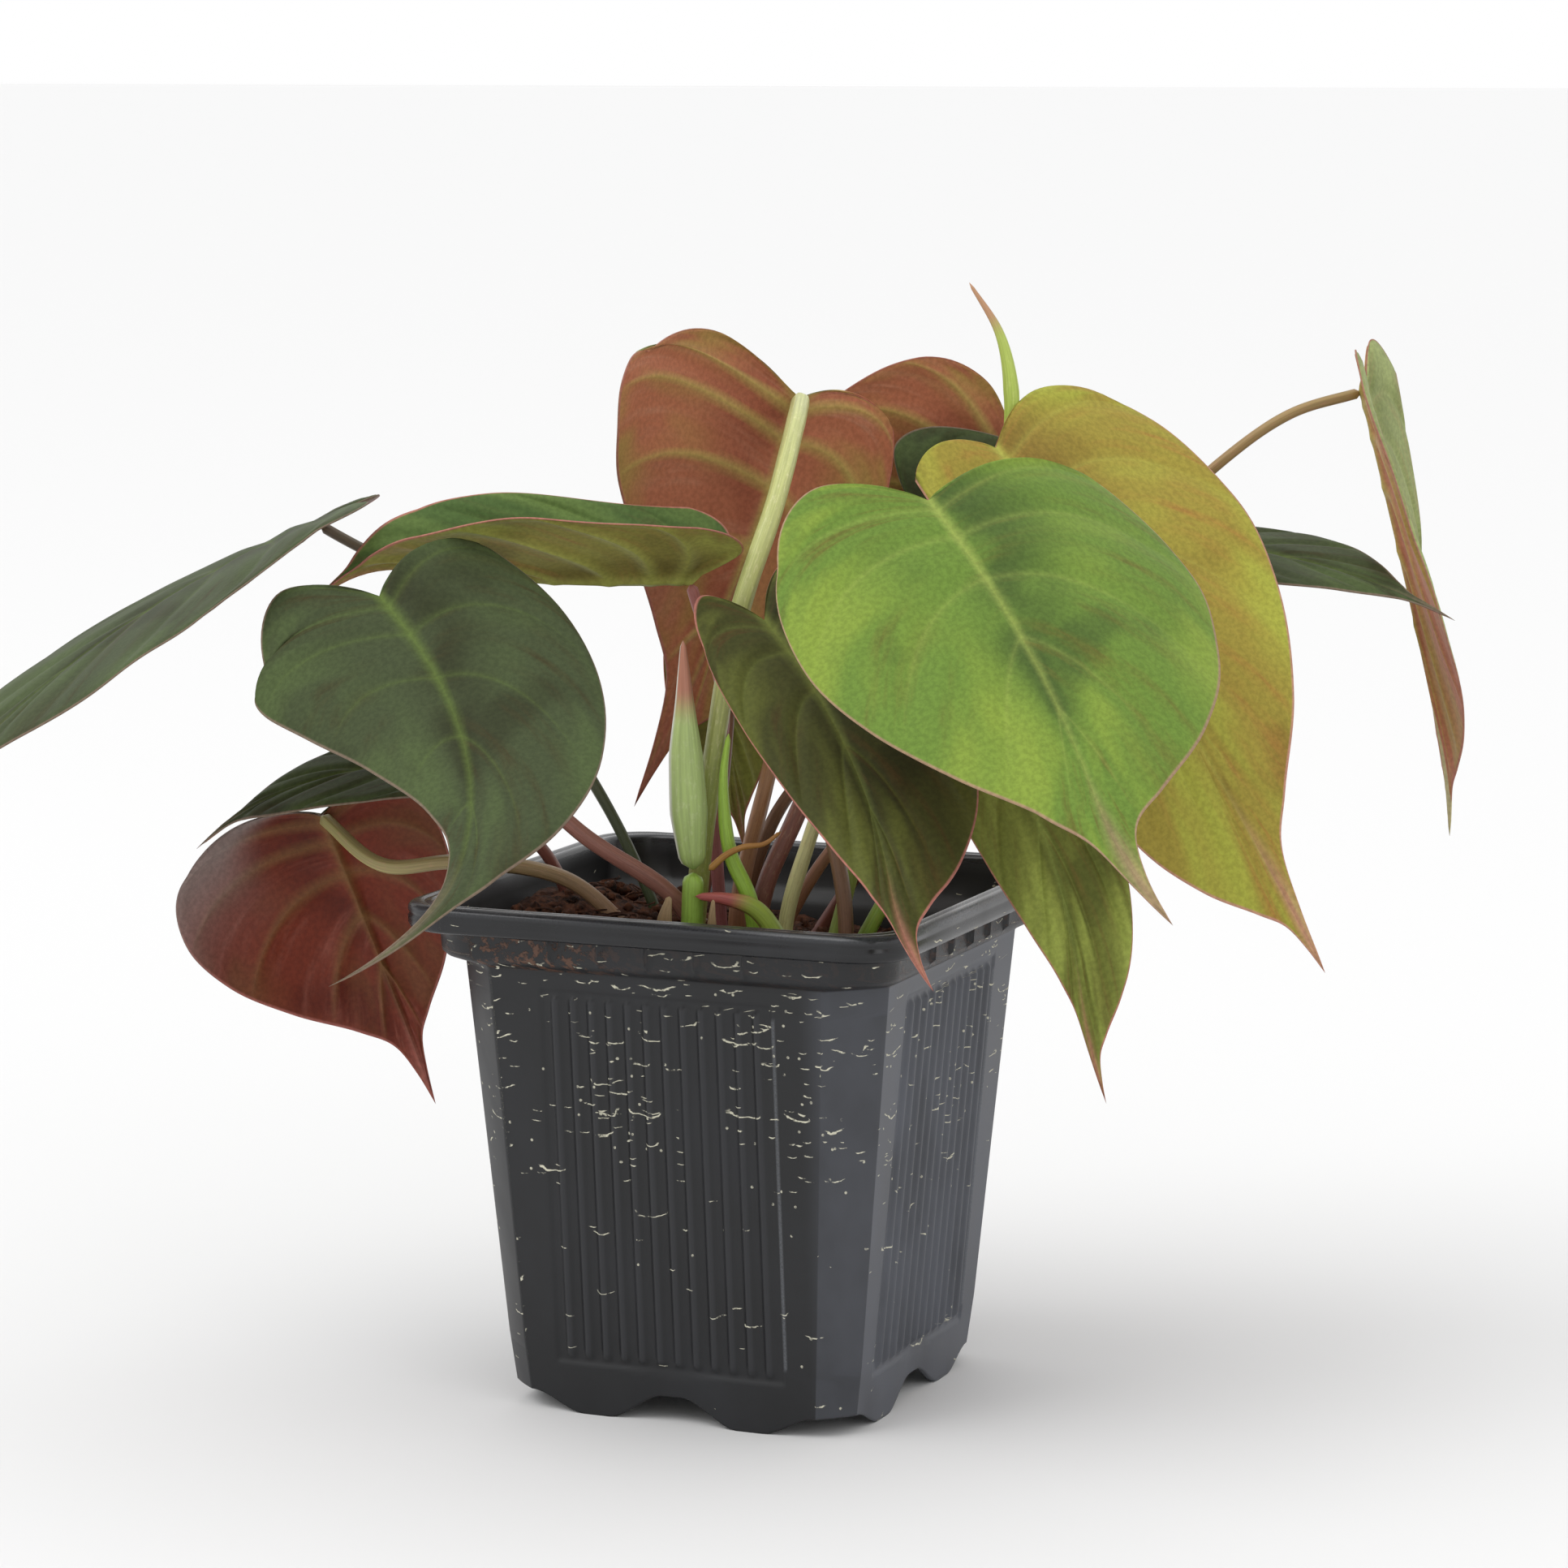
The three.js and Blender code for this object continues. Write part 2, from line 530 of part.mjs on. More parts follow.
// Pieces that stand on or grow from a shoot, above the compost.
const SMALL_PIECES = {
  sheath: {
    route: [[-8.4, -19, 92.6], [-9, -19, 100], [-9.6, -19, 112], [-9.8, -19, 122], [-10, -19, 131]],
    radii: [2.2, 3.3, 3, 1.6, 0.4], flat: 0.7, colour: 0xc9d6a0,
  },
  rolled_leaf: {
    route: [[45.1, 10, 160.6], [45.5, 10, 170], [43.5, 10.5, 180], [38.3, 12, 188.7]],
    radii: [1, 1.4, 0.8, 0.25], flat: 0.8, colour: 0xb4c66f,
  },
  dry_scrap_left: {
    route: [[-13.4, -19, 80.5], [-13.2, -19.4, 84], [-12.4, -19.2, 88]],
    radii: [1.6, 1.3, 0.5], flat: 0.35, colour: 0xb59a72,
  },
  dry_scrap_right: {
    route: [[-5, -25.4, 80.5], [-5.2, -25.6, 84.4], [-5, -25.4, 88.5]],
    radii: [0.9, 0.8, 0.3], flat: 0.4, colour: 0xb59a72,
  },
  aerial_root: {
    route: [[-5.8, -19.5, 92.5], [-3, -19.5, 95], [0, -20, 96.5], [3.4, -20, 97], [6.2, -19.5, 99]],
    radii: [0.6, 0.5, 0.3], flat: 1, colour: 0xc08a4a,
  },
};

const soilHeight = (x) => SOIL_MIDDLE_Z - SOIL_SLOPE * x;

function stemRoute(stem) {
  const [x, y] = stem.foot;
  const route = [[x, y, soilHeight(x) - ROOTED_DEPTH], ...stem.via];
  if (stem.leaf) {
    const leaf = LEAVES[stem.leaf];
    const { place, up } = midribFrames(leaf)[0];
    const topRadius = stem.radii[stem.radii.length - 1];
    const below = LEAF_THICKNESS / 2 + PIECE_GAP + topRadius;
    route.push(place.clone().addScaledVector(up, -below).toArray());
  }
  return route;
}

// ---------- compost ----------
function soilGeometry(stems) {
  const innerHalf = (z) => bodyHalf(z) - WALL - SOIL_GAP;
  const level = (ring) => ring.map((p) => {
    const inPlant = p.clone().applyAxisAngle(new THREE.Vector3(0, 0, 1), -PLANT_TURN);
    return p.clone().setZ(soilHeight(inPlant.x));
  });
  const bottom = FLOOR_Z + SOIL_GAP;
  const rings = [
    squareRing(innerHalf(bottom), bodyCut(bottom) - SOIL_GAP, bottom),
    level(squareRing(innerHalf(SOIL_MIDDLE_Z - SOIL_SHOULDER), CHAMFER_TOP - SOIL_GAP, SOIL_MIDDLE_Z)),
    level(squareRing(innerHalf(SOIL_MIDDLE_Z) / 2, CHAMFER_TOP / 2, SOIL_MIDDLE_Z)),
  ];
  const solid = loftGeometry(rings, new THREE.Vector3(0, 0, bottom), new THREE.Vector3(0, 0, SOIL_MIDDLE_Z));
  let soil = toSolid(solid);
  for (const stem of stems) {
    const hole = stemGeometry(stemRoute(stem), stem.radii, { grow: PIECE_GAP });
    const [x, y] = stem.foot;
    const well = stemGeometry(
      [[x, y, soilHeight(x) - ROOTED_DEPTH - PIECE_GAP], [x, y, soilHeight(x) - ROOTED_DEPTH + PIECE_GAP]],
      [stem.radii[0], stem.radii[0]],
      { grow: PIECE_GAP },
    );
    for (const cutter of [hole, well]) {
      cutter.rotateZ(PLANT_TURN);
      soil = soil.subtract(toSolid(cutter));
    }
  }
  return fromSolid(soil);
}

// ---------- assembly ----------
function named(name, geometry, material) {
  const mesh = new THREE.Mesh(geometry, material);
  mesh.name = name;
  return mesh;
}

const stems = [...Object.values(PETIOLES), ...Object.values(SHOOTS)];
const potted = new THREE.Group();
potted.add(named('pot', potGeometry(), potPlastic()));
potted.add(named('compost', soilGeometry(stems), compost()));

const plant = new THREE.Group();
plant.rotation.z = PLANT_TURN;
potted.add(plant);
for (const [name, leaf] of Object.entries(LEAVES)) {
  plant.add(named(name, leafGeometry(leaf), finish(LEAF_COLOURS[leaf.tone], 0.6)));
}
for (const [name, stem] of Object.entries({ ...PETIOLES, ...SHOOTS })) {
  plant.add(named(name, stemGeometry(stemRoute(stem), stem.radii), finish(stem.colour, 0.5)));
}
for (const [name, piece] of Object.entries(SMALL_PIECES)) {
  plant.add(named(name, stemGeometry(piece.route, piece.radii, piece), finish(piece.colour, 0.5)));
}

const whole = new THREE.Group();
whole.add(potted);
whole.updateMatrixWorld(true);
const box = new THREE.Box3().setFromObject(whole, true);
const middle = box.getCenter(new THREE.Vector3());
potted.position.set(-middle.x, -middle.y, -box.min.z);

export default whole;
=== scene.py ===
"""A heart-leaved philodendron with velvety leaves, growing in a 9 cm square black nursery pot.

Everything that grows is laid out in millimetres in the plant's own axes: x to the right of its
broad front, y to the back, z up, from the middle of the pot's foot. to_frame() turns those into
the part's frame, in metres. The pot's own walls run along the frame's X and Y.
"""

import math

import bmesh
import bpy
import numpy as np
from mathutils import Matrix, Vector, noise


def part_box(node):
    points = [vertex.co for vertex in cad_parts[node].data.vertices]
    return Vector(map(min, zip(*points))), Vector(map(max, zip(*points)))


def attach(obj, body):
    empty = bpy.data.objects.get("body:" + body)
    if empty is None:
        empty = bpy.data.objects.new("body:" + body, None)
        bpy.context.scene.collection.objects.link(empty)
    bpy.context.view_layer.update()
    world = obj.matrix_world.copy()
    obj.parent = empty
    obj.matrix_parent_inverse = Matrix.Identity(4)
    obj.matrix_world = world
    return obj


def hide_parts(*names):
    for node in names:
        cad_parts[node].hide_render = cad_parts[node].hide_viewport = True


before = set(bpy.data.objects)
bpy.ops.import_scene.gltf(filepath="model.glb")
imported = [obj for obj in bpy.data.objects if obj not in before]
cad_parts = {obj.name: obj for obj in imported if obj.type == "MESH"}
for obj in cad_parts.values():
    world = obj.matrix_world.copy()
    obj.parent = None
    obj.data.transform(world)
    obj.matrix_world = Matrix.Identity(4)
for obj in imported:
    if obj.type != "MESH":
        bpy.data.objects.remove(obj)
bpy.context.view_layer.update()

MM = 0.001
PLANT_TURN = math.radians(22.6)

pot_low, pot_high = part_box("pot")
POT_MIDDLE = np.array([(pot_low.x + pot_high.x) / 2, (pot_low.y + pot_high.y) / 2, pot_low.z])


def turned(points, angle):
    """Points turned about Z."""
    c, s = math.cos(angle), math.sin(angle)
    p = np.asarray(points, float)
    return np.stack([p[..., 0] * c - p[..., 1] * s, p[..., 0] * s + p[..., 1] * c, p[..., 2]], -1)


def to_frame(points):
    """Plant axes in millimetres to the part's frame in metres."""
    return turned(points, PLANT_TURN) * MM + POT_MIDDLE


def pot_to_frame(points):
    """The pot's own axes in millimetres to the part's frame in metres."""
    return np.asarray(points, float) * MM + POT_MIDDLE


# ---------- materials ----------
def linear(colour):
    """An sRGB hex colour as linear values, opaque."""
    channels = [int(colour[i : i + 2], 16) / 255 for i in (1, 3, 5)]
    return (*(c / 12.92 if c <= 0.04045 else ((c + 0.055) / 1.055) ** 2.4 for c in channels), 1.0)


def node(tree, kind, inputs=None, **settings):
    """Adds a node. Settings go on the node itself; each input is a constant or another node's output."""
    made = tree.nodes.new(kind)
    for name, value in settings.items():
        setattr(made, name, value)
    for key, value in (inputs or {}).items():
        if isinstance(value, bpy.types.NodeSocket):
            tree.links.new(value, made.inputs[key])
        else:
            made.inputs[key].default_value = value
    return made


def mixed(tree, share, first, second, blend="MIX"):
    """The colour between two colours."""
    inputs = {0: share, 6: first, 7: second}
    return node(tree, "ShaderNodeMix", inputs, data_type="RGBA", blend_type=blend).outputs[2]


def ranged(tree, value, low, high, to_low=0.0, to_high=1.0):
    """A value taken from one range to another, and held at its ends."""
    inputs = {"Value": value, "From Min": low, "From Max": high, "To Min": to_low, "To Max": to_high}
    return node(tree, "ShaderNodeMapRange", inputs, interpolation_type="SMOOTHSTEP").outputs[0]


def calculated(tree, operation, *values):
    """A number made from one, two or three numbers."""
    return node(tree, "ShaderNodeMath", dict(enumerate(values)), operation=operation).outputs[0]


def stretched(tree, vector, scale):
    """A vector scaled along each axis."""
    return node(tree, "ShaderNodeVectorMath", {0: vector, 1: scale}, operation="MULTIPLY").outputs[0]


def cloudy(tree, vector, scale, detail=3.0, roughness=0.55):
    """Soft noise, around 0.5."""
    inputs = {"Vector": vector, "Scale": scale, "Detail": detail, "Roughness": roughness}
    return node(tree, "ShaderNodeTexNoise", inputs).outputs["Fac"]


def new_material(name, **surface_inputs):
    """An empty material with its shader: (material, tree, shader)."""
    material = bpy.data.materials.new(name)
    material.use_nodes = True
    tree = material.node_tree
    shader = tree.nodes["Principled BSDF"]
    for key, value in surface_inputs.items():
        shader.inputs[key.replace("_", " ")].default_value = value
    return material, tree, shader


def bumped(tree, shader, height, depth_mm, strength=1.0):
    """Fine relief that's too small for the mesh."""
    inputs = {"Height": height, "Distance": depth_mm * MM, "Strength": strength}
    bump = node(tree, "ShaderNodeBump", inputs)
    tree.links.new(bump.outputs[0], shader.inputs["Normal"])


def mark(tree, name):
    """One of the masks that the mesh carries, from 0 to 1."""
    return node(tree, "ShaderNodeAttribute", attribute_name=name).outputs["Fac"]


# The upper side of a velvet leaf. A pile of fine papillae hides the gloss; the colour pools dark
# by the midrib, warms in streaks between the veins and pales towards the edge.
UPPER = {
    "bright": {"field": "#658035", "deep": "#465a2a", "blush": "#665f2c", "glow": "#82963c",
               "vein": "#a3b05a", "margin": "#a98672"},
    "lime": {"field": "#96883a", "deep": "#7f692e", "blush": "#a0713a", "glow": "#a0a542", "vein": "#b5bc58",
             "margin": "#c08a7c"},
    "moss": {"field": "#6f7635", "deep": "#555b28", "blush": "#6a582c", "glow": "#98a44d", "vein": "#9cab56",
             "margin": "#b5746a"},
    "olive": {"field": "#414320", "deep": "#303117", "blush": "#4e3b20", "glow": "#5c612c", "vein": "#7a8540",
              "margin": "#b5746a"},
    "dark": {"field": "#3f482e", "deep": "#2f331e", "blush": "#3b321b", "glow": "#4b5934", "vein": "#667a38",
             "margin": "#7c6a5c"},
    "copper": {"field": "#8c9560", "deep": "#77804e", "blush": "#9a7a5c", "glow": "#9ca66c",
               "vein": "#b0b67c", "margin": "#a06a60"},
    "brick": {"field": "#3f482e", "deep": "#2f331e", "blush": "#3b321b", "glow": "#4b5934", "vein": "#667a38",
              "margin": "#7c6a5c"},
}

# The underside: copper to brick red, with broad yellow-green veins that fade into it.
UNDER = {
    "bright": {"field": "#96583f", "deep": "#7f4634", "blush": "#a3705a", "glow": "#8f7a40",
               "vein": "#a3a052"},
    "lime": {"field": "#9c6044", "deep": "#854c36", "blush": "#a8755c", "glow": "#978548", "vein": "#a9a95a"},
    "moss": {"field": "#85803f", "deep": "#6c6332", "blush": "#8f6a40", "glow": "#979a4c", "vein": "#a2a855"},
    "olive": {"field": "#7b7839", "deep": "#645c2c", "blush": "#8c673c", "glow": "#8c9346",
              "vein": "#9aa34f"},
    "dark": {"field": "#6b3f2e", "deep": "#523024", "blush": "#7d503c", "glow": "#6a5c34", "vein": "#7d743f"},
    # The copper underside is partly the leaves' own copper and partly painted light: lightened for light
    # shining through these thin leaves from behind.
    "copper": {"field": "#a9674a", "deep": "#93543d", "blush": "#b27c60", "glow": "#a08547",
               "vein": "#aea858"},
    "brick": {"field": "#74301f", "deep": "#571f12", "blush": "#8a4e40", "glow": "#6f4127",
              "vein": "#7a5a34"},
}
# The leaf that shows its back with a fold is greener above than its neighbours of the same age.
FERN = {"field": "#4d6335", "deep": "#3e522c", "blush": "#565a34", "glow": "#637840",
        "vein": "#869a52", "margin": "#b5746a"}
UNDER_MARGIN = "#a9665c"
DRY_TISSUE = "#b7ad82"
# Painted reflection: the grey of a glossy sheen, painted onto one leaf's underside.
PAINTED_SHEEN_GREY = "#8b7d78"


LEAF_MASKS = ("vein", "rib", "edge", "tip", "dry", "painted_sheen")


def leaf_material(name, colours, underside):
    """Leaf tissue, drawn along its veins: velvety above, smoother and broad-veined below."""
    material, tree, shader = new_material(
        name,
        Roughness=0.48 if underside else 0.6,
        IOR=1.42,
        Specular_IOR_Level=0.25 if underside else 0.14,
        Sheen_Weight=0.03,
        Sheen_Roughness=0.5,
        Sheen_Tint=linear("#d5dccb"),
    )
    veinwise = node(tree, "ShaderNodeUVMap", uv_map="veinwise").outputs[0]
    blade = node(tree, "ShaderNodeUVMap", uv_map="blade").outputs[0]
    vein, rib, edge, tip, dry, painted_sheen = (mark(tree, mask) for mask in LEAF_MASKS)
    out_share = node(tree, "ShaderNodeSeparateXYZ", {0: veinwise}).outputs[1]

    streaks = cloudy(tree, stretched(tree, veinwise, (34.0, 1.4, 1.0)), 1.0, 4.0, 0.6)
    bands = cloudy(tree, stretched(tree, veinwise, (8.0, 1.1, 1.0)), 1.0, 2.0, 0.5)
    patches = cloudy(tree, blade, 4.0, 2.0, 0.5)
    fine = cloudy(tree, blade, 110.0, 2.0, 0.6)

    by_rib = calculated(tree, "MULTIPLY", ranged(tree, out_share, 0.5, 0.05), ranged(tree, patches, 0.4, 0.6))
    deep = calculated(tree, "MAXIMUM", by_rib, ranged(tree, patches, 0.56, 0.72, 0.0, 0.8))
    body = mixed(tree, deep, linear(colours["field"]), linear(colours["deep"]))
    warm = calculated(tree, "MULTIPLY", ranged(tree, streaks, 0.45, 0.75), ranged(tree, bands, 0.4, 0.62))
    body = mixed(tree, warm, body, linear(colours["blush"]))
    pale = ranged(tree, bands, 0.56, 0.38)
    outward = calculated(tree, "MULTIPLY", pale, ranged(tree, out_share, 0.15, 0.75))
    body = mixed(tree, calculated(tree, "MULTIPLY", outward, 0.85), body, linear(colours["glow"]))
    line = calculated(tree, "POWER", vein, 0.7 if underside else 2.0)
    line_weight, rib_weight = (0.55, 0.85) if underside else (0.2, 0.6)
    body = mixed(tree, calculated(tree, "MULTIPLY", line, line_weight), body, linear(colours["vein"]))
    body = mixed(tree, calculated(tree, "MULTIPLY", rib, rib_weight), body, linear(colours["vein"]))
    body = mixed(tree, ranged(tree, edge, 0.75, 0.2, 0.0, 0.85), body, linear(colours["margin"]))
    body = mixed(tree, calculated(tree, "MULTIPLY", tip, 0.7), body, linear(colours["margin"]))
    # Painted reflection: a grey sheen patch painted over the lobe part of the marked half, away from the
    # midrib.
    sheen_patch = calculated(tree, "MULTIPLY", painted_sheen, ranged(tree, patches, 0.3, 0.6, 0.7, 0.95))
    body = mixed(tree, sheen_patch, body, linear(PAINTED_SHEEN_GREY))
    body = mixed(tree, dry, body, linear(DRY_TISSUE))
    speckle = mixed(tree, ranged(tree, fine, 0.3, 0.7), (0.86, 0.86, 0.86, 1), (1.1, 1.1, 1.1, 1))
    tree.links.new(mixed(tree, 1.0, body, speckle, "MULTIPLY"), shader.inputs["Base Color"])
    bumped(tree, shader, calculated(tree, "ADD", fine, streaks), 0.1, 0.35)
    return material


def stem_material(name, low, high, spot, top=None, pale_side=None):
    """A smooth juicy stem: a thin waxy skin with faint lengthwise lines, from its foot to its top.
    top colours its last quarter, and pale_side a thin papery margin down one side."""
    material, tree, shader = new_material(name, Roughness=0.42, IOR=1.42)
    length = node(tree, "ShaderNodeUVMap", uv_map="stem").outputs[0]
    share = mark(tree, "along")
    lines = cloudy(tree, stretched(tree, length, (14.0, 0.6, 1.0)), 1.0, 3.0, 0.6)
    spots = cloudy(tree, stretched(tree, length, (9.0, 5.0, 1.0)), 1.0, 4.0, 0.7)
    body = mixed(tree, share, linear(low), linear(high))
    body = mixed(tree, ranged(tree, spots, 0.5, 0.72, 0.0, 0.6), body, linear(spot))
    if top:
        body = mixed(tree, ranged(tree, share, 0.62, 0.8), body, linear(top))
    if pale_side:
        around = node(tree, "ShaderNodeSeparateXYZ", {0: length}).outputs[0]
        body = mixed(tree, ranged(tree, around, 0.72, 0.85), body, linear(pale_side))
    shade = mixed(tree, ranged(tree, lines, 0.3, 0.7), (0.8, 0.8, 0.8, 1), (1.1, 1.1, 1.1, 1))
    tree.links.new(mixed(tree, 1.0, body, shade, "MULTIPLY"), shader.inputs["Base Color"])
    bumped(tree, shader, lines, 0.15, 0.4)
    return material


# Layers of lime marks: cell size in mm, radius and thickness of a mark in its cell, how many cells.
LIME_LAYERS = ((10.0, 0.34, 0.03, 0.5), (6.0, 0.3, 0.045, 0.44), (3.2, 0.24, 0.07, 0.34))


POT_MASKS = ("wear_and_highlight", "band", "upper", "crown", "glossy", "dust_and_sheen", "inner")


def pot_material():
    """Thin black polypropylene, thermoformed: a dull grey sheen, cream lime flecks where water has dried,
    wear on the rim's top, and a little compost stuck under the rim. Painted light as well: a grey film on the
    right face and the front's right corner that is partly dust and partly painted sheen, a painted highlight
    line down each panel's right edge and on the rib crowns, and painted shade inside."""
    material, tree, shader = new_material("black_polypropylene", IOR=1.49)
    wall = node(tree, "ShaderNodeUVMap", uv_map="wall").outputs[0]
    wear_and_highlight, band, upper, crown, glossy, dust_and_sheen, inner = (mark(tree, mask) for mask in POT_MASKS)

    haze = cloudy(tree, stretched(tree, wall, (0.05, 0.03, 1.0)), 1.0, 4.0, 0.55)
    grain = cloudy(tree, wall, 3.0, 2.0, 0.6)
    body = mixed(tree, ranged(tree, haze, 0.35, 0.75), linear("#0c0d10"), linear("#1a1b1f"))
    # Painted highlight: the rib crowns are lightened, standing in for the light the ribs catch.
    body = mixed(tree, calculated(tree, "MULTIPLY", crown, 0.6), body, linear("#242529"))
    # A grey film on the right face and the front's right corner: partly dust, partly a painted sheen standing
    # for the light glancing off these faces.
    dust_and_sheen_film = calculated(tree, "MULTIPLY", dust_and_sheen, ranged(tree, haze, 0.25, 0.7, 0.45, 1.0))
    body = mixed(tree, dust_and_sheen_film, body, linear("#53565e"))
    # Painted shade: the inside of the pot is darkened towards black.
    body = mixed(tree, calculated(tree, "MULTIPLY", inner, 0.8), body, linear("#050506"))
    # Light grey where the rim's top is worn, and a painted highlight line down the right edge of each sunk
    # panel.
    wear_and_highlight_share = calculated(tree, "MULTIPLY", wear_and_highlight, ranged(tree, grain, 0.3, 0.65, 0.5, 1.0))
    body = mixed(tree, wear_and_highlight_share, body, linear("#74777c"))

    # Lime marks: shallow smiling arcs a few millimetres wide, in loose clusters near the rim.
    clusters = ranged(tree, cloudy(tree, wall, 0.06, 2.0, 0.5), 0.42, 0.62, 0.25, 1.0)
    dense = calculated(tree, "MULTIPLY", upper, clusters)
    marks = 0.0
    for cell_mm, radius, width, share in LIME_LAYERS:
        vector = stretched(tree, wall, (1 / cell_mm, 2.1 / cell_mm, 1.0))
        wobble = node(tree, "ShaderNodeTexNoise", {"Vector": vector, "Scale": 2.2, "Detail": 3.0})
        shifts = {0: wobble.outputs["Color"], 1: (0.45, 0.45, 0.0), 2: vector}
        bent = node(tree, "ShaderNodeVectorMath", shifts, operation="MULTIPLY_ADD").outputs[0]
        cells = node(tree, "ShaderNodeTexVoronoi", {"Vector": bent, "Scale": 1.0, "Randomness": 1.0},
                     voronoi_dimensions="2D")
        from_middle = {0: bent, 1: cells.outputs["Position"]}
        offset = node(tree, "ShaderNodeVectorMath", from_middle, operation="SUBTRACT")
        height = node(tree, "ShaderNodeSeparateXYZ", {0: offset.outputs[0]}).outputs[1]
        ring = calculated(tree, "ABSOLUTE", calculated(tree, "SUBTRACT", cells.outputs["Distance"], radius))
        arc = ranged(tree, ring, width, width * 0.5)
        lower = ranged(tree, height, -0.12, -0.2)
        chosen = node(tree, "ShaderNodeSeparateXYZ", {0: cells.outputs["Color"]}).outputs[0]
        here = calculated(tree, "LESS_THAN", chosen, calculated(tree, "MULTIPLY", dense, share))
        arc = calculated(tree, "MULTIPLY", calculated(tree, "MULTIPLY", arc, lower), here)
        marks = arc if marks == 0.0 else calculated(tree, "MAXIMUM", marks, arc)
    dots = node(tree, "ShaderNodeTexVoronoi", {"Vector": wall, "Scale": 0.4, "Randomness": 1.0},
                voronoi_dimensions="2D")
    dot = ranged(tree, dots.outputs["Distance"], 0.12, 0.07)
    dot_cell = node(tree, "ShaderNodeSeparateXYZ", {0: dots.outputs["Color"]}).outputs[1]
    few = calculated(tree, "LESS_THAN", dot_cell, calculated(tree, "MULTIPLY", dense, 0.3))
    specks = calculated(tree, "MULTIPLY", dot, calculated(tree, "MULTIPLY", few, 0.8))
    marks = calculated(tree, "MAXIMUM", marks, specks)
    broken = ranged(tree, cloudy(tree, wall, 0.9, 4.0, 0.65), 0.38, 0.52)
    marks = calculated(tree, "MULTIPLY", marks, broken)
    body = mixed(tree, marks, body, linear("#c9c6b2"))

    crumbs = cloudy(tree, wall, 0.5, 5.0, 0.7)
    soiled = calculated(tree, "MULTIPLY", band, ranged(tree, crumbs, 0.5, 0.58))
    body = mixed(tree, soiled, body, linear("#573826"))
    tree.links.new(body, shader.inputs["Base Color"])
    polish = calculated(tree, "MULTIPLY", glossy, 0.18)
    rough = calculated(tree, "SUBTRACT", ranged(tree, haze, 0.3, 0.8, 0.4, 0.55), polish)
    rough = calculated(tree, "ADD", rough, calculated(tree, "MULTIPLY", marks, 0.4))
    tree.links.new(rough, shader.inputs["Roughness"])
    relief = calculated(tree, "ADD", calculated(tree, "MULTIPLY", grain, 0.15),
                        calculated(tree, "ADD", marks, calculated(tree, "MULTIPLY", soiled, 2.0)))
    bumped(tree, shader, relief, 0.15, 0.5)
    return material


def compost_material():
    """Coir and peat: reddish-brown fibres and crumbs, dull, with painted shade in the hollows: the colour
    darkens where the crumb relief is low.
    """
    material, tree, shader = new_material("coir_and_peat", Roughness=0.95, IOR=1.4)
    place = node(tree, "ShaderNodeTexCoord").outputs["Object"]
    crumbs = cloudy(tree, place, 420.0, 6.0, 0.75)
    patches = cloudy(tree, place, 90.0, 3.0, 0.6)
    # Painted shade: the darkest colour falls on the low points of the same noise that makes the bump.
    body = mixed(tree, ranged(tree, crumbs, 0.35, 0.65), linear("#1c1310"), linear("#704630"))
    body = mixed(tree, ranged(tree, patches, 0.45, 0.7), body, linear("#412619"))
    tree.links.new(body, shader.inputs["Base Color"])
    bumped(tree, shader, crumbs, 1.2, 1.0)
    return material


# ---------- meshes ----------
def catmull(points, params):
    """Points of the centripetal Catmull-Rom curve through points, at parameters from 0 to 1."""
    p = np.asarray(points, float)
    spans = len(p) - 1
    p = np.vstack([2 * p[0] - p[1], p, 2 * p[-1] - p[-2]])
    t = np.clip(np.asarray(params, float), 0, 1) * spans
    i = np.minimum(t.astype(int), spans - 1)
    w = (t - i)[:, None]
    a, b, c, d = p[i], p[i + 1], p[i + 2], p[i + 3]
    d0, d1, d2 = (
        np.maximum(np.linalg.norm(v - u, axis=1, keepdims=True), 1e-6) ** 0.5
        for u, v in ((a, b), (b, c), (c, d))
    )
    m1 = ((b - a) / d0 - (c - a) / (d0 + d1) + (c - b) / d1) * d1
    m2 = ((c - b) / d1 - (d - b) / (d1 + d2) + (d - c) / d2) * d1
    return b + m1 * w + (3 * (c - b) - 2 * m1 - m2) * w**2 + (2 * (b - c) + m1 + m2) * w**3


def even_curve(points, count):
    """The same curve as points an equal distance apart."""
    fine = catmull(points, np.linspace(0, 1, 60 * len(points)))
    run = np.concatenate([[0], np.cumsum(np.linalg.norm(np.diff(fine, axis=0), axis=1))])
    at = np.linspace(0, run[-1], count)
    return np.stack([np.interp(at, run, fine[:, k]) for k in range(3)], 1), run[-1]


def new_piece(name, verts, faces, materials, node_name, face_materials=None, points=None, uvs=None):
    """A mesh piece in the part's frame. points are masks by vertex, uvs are maps by vertex; a face
    may also bring its own material."""
    mesh = bpy.data.meshes.new(name)
    mesh.from_pydata([tuple(v) for v in verts], [], [tuple(f) for f in faces])
    for key, values in (points or {}).items():
        layer = mesh.attributes.new(key, "FLOAT", "POINT")
        layer.data.foreach_set("value", np.asarray(values, np.float32))
    if uvs:
        loops = np.zeros(len(mesh.loops), np.int32)
        mesh.loops.foreach_get("vertex_index", loops)
        for key, values in uvs.items():
            layer = mesh.uv_layers.new(name=key)
            layer.data.foreach_set("uv", np.asarray(values, np.float32)[loops].ravel())
    for material in materials:
        mesh.materials.append(material)
    if face_materials is not None:
        mesh.polygons.foreach_set("material_index", np.asarray(face_materials, np.int32))
    mesh.polygons.foreach_set("use_smooth", np.full(len(mesh.polygons), True))
    mesh.update()
    piece = bpy.data.objects.new(name, mesh)
    bpy.context.scene.collection.objects.link(piece)
    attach(piece, "root")
    if node_name:
        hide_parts(node_name)
    return piece


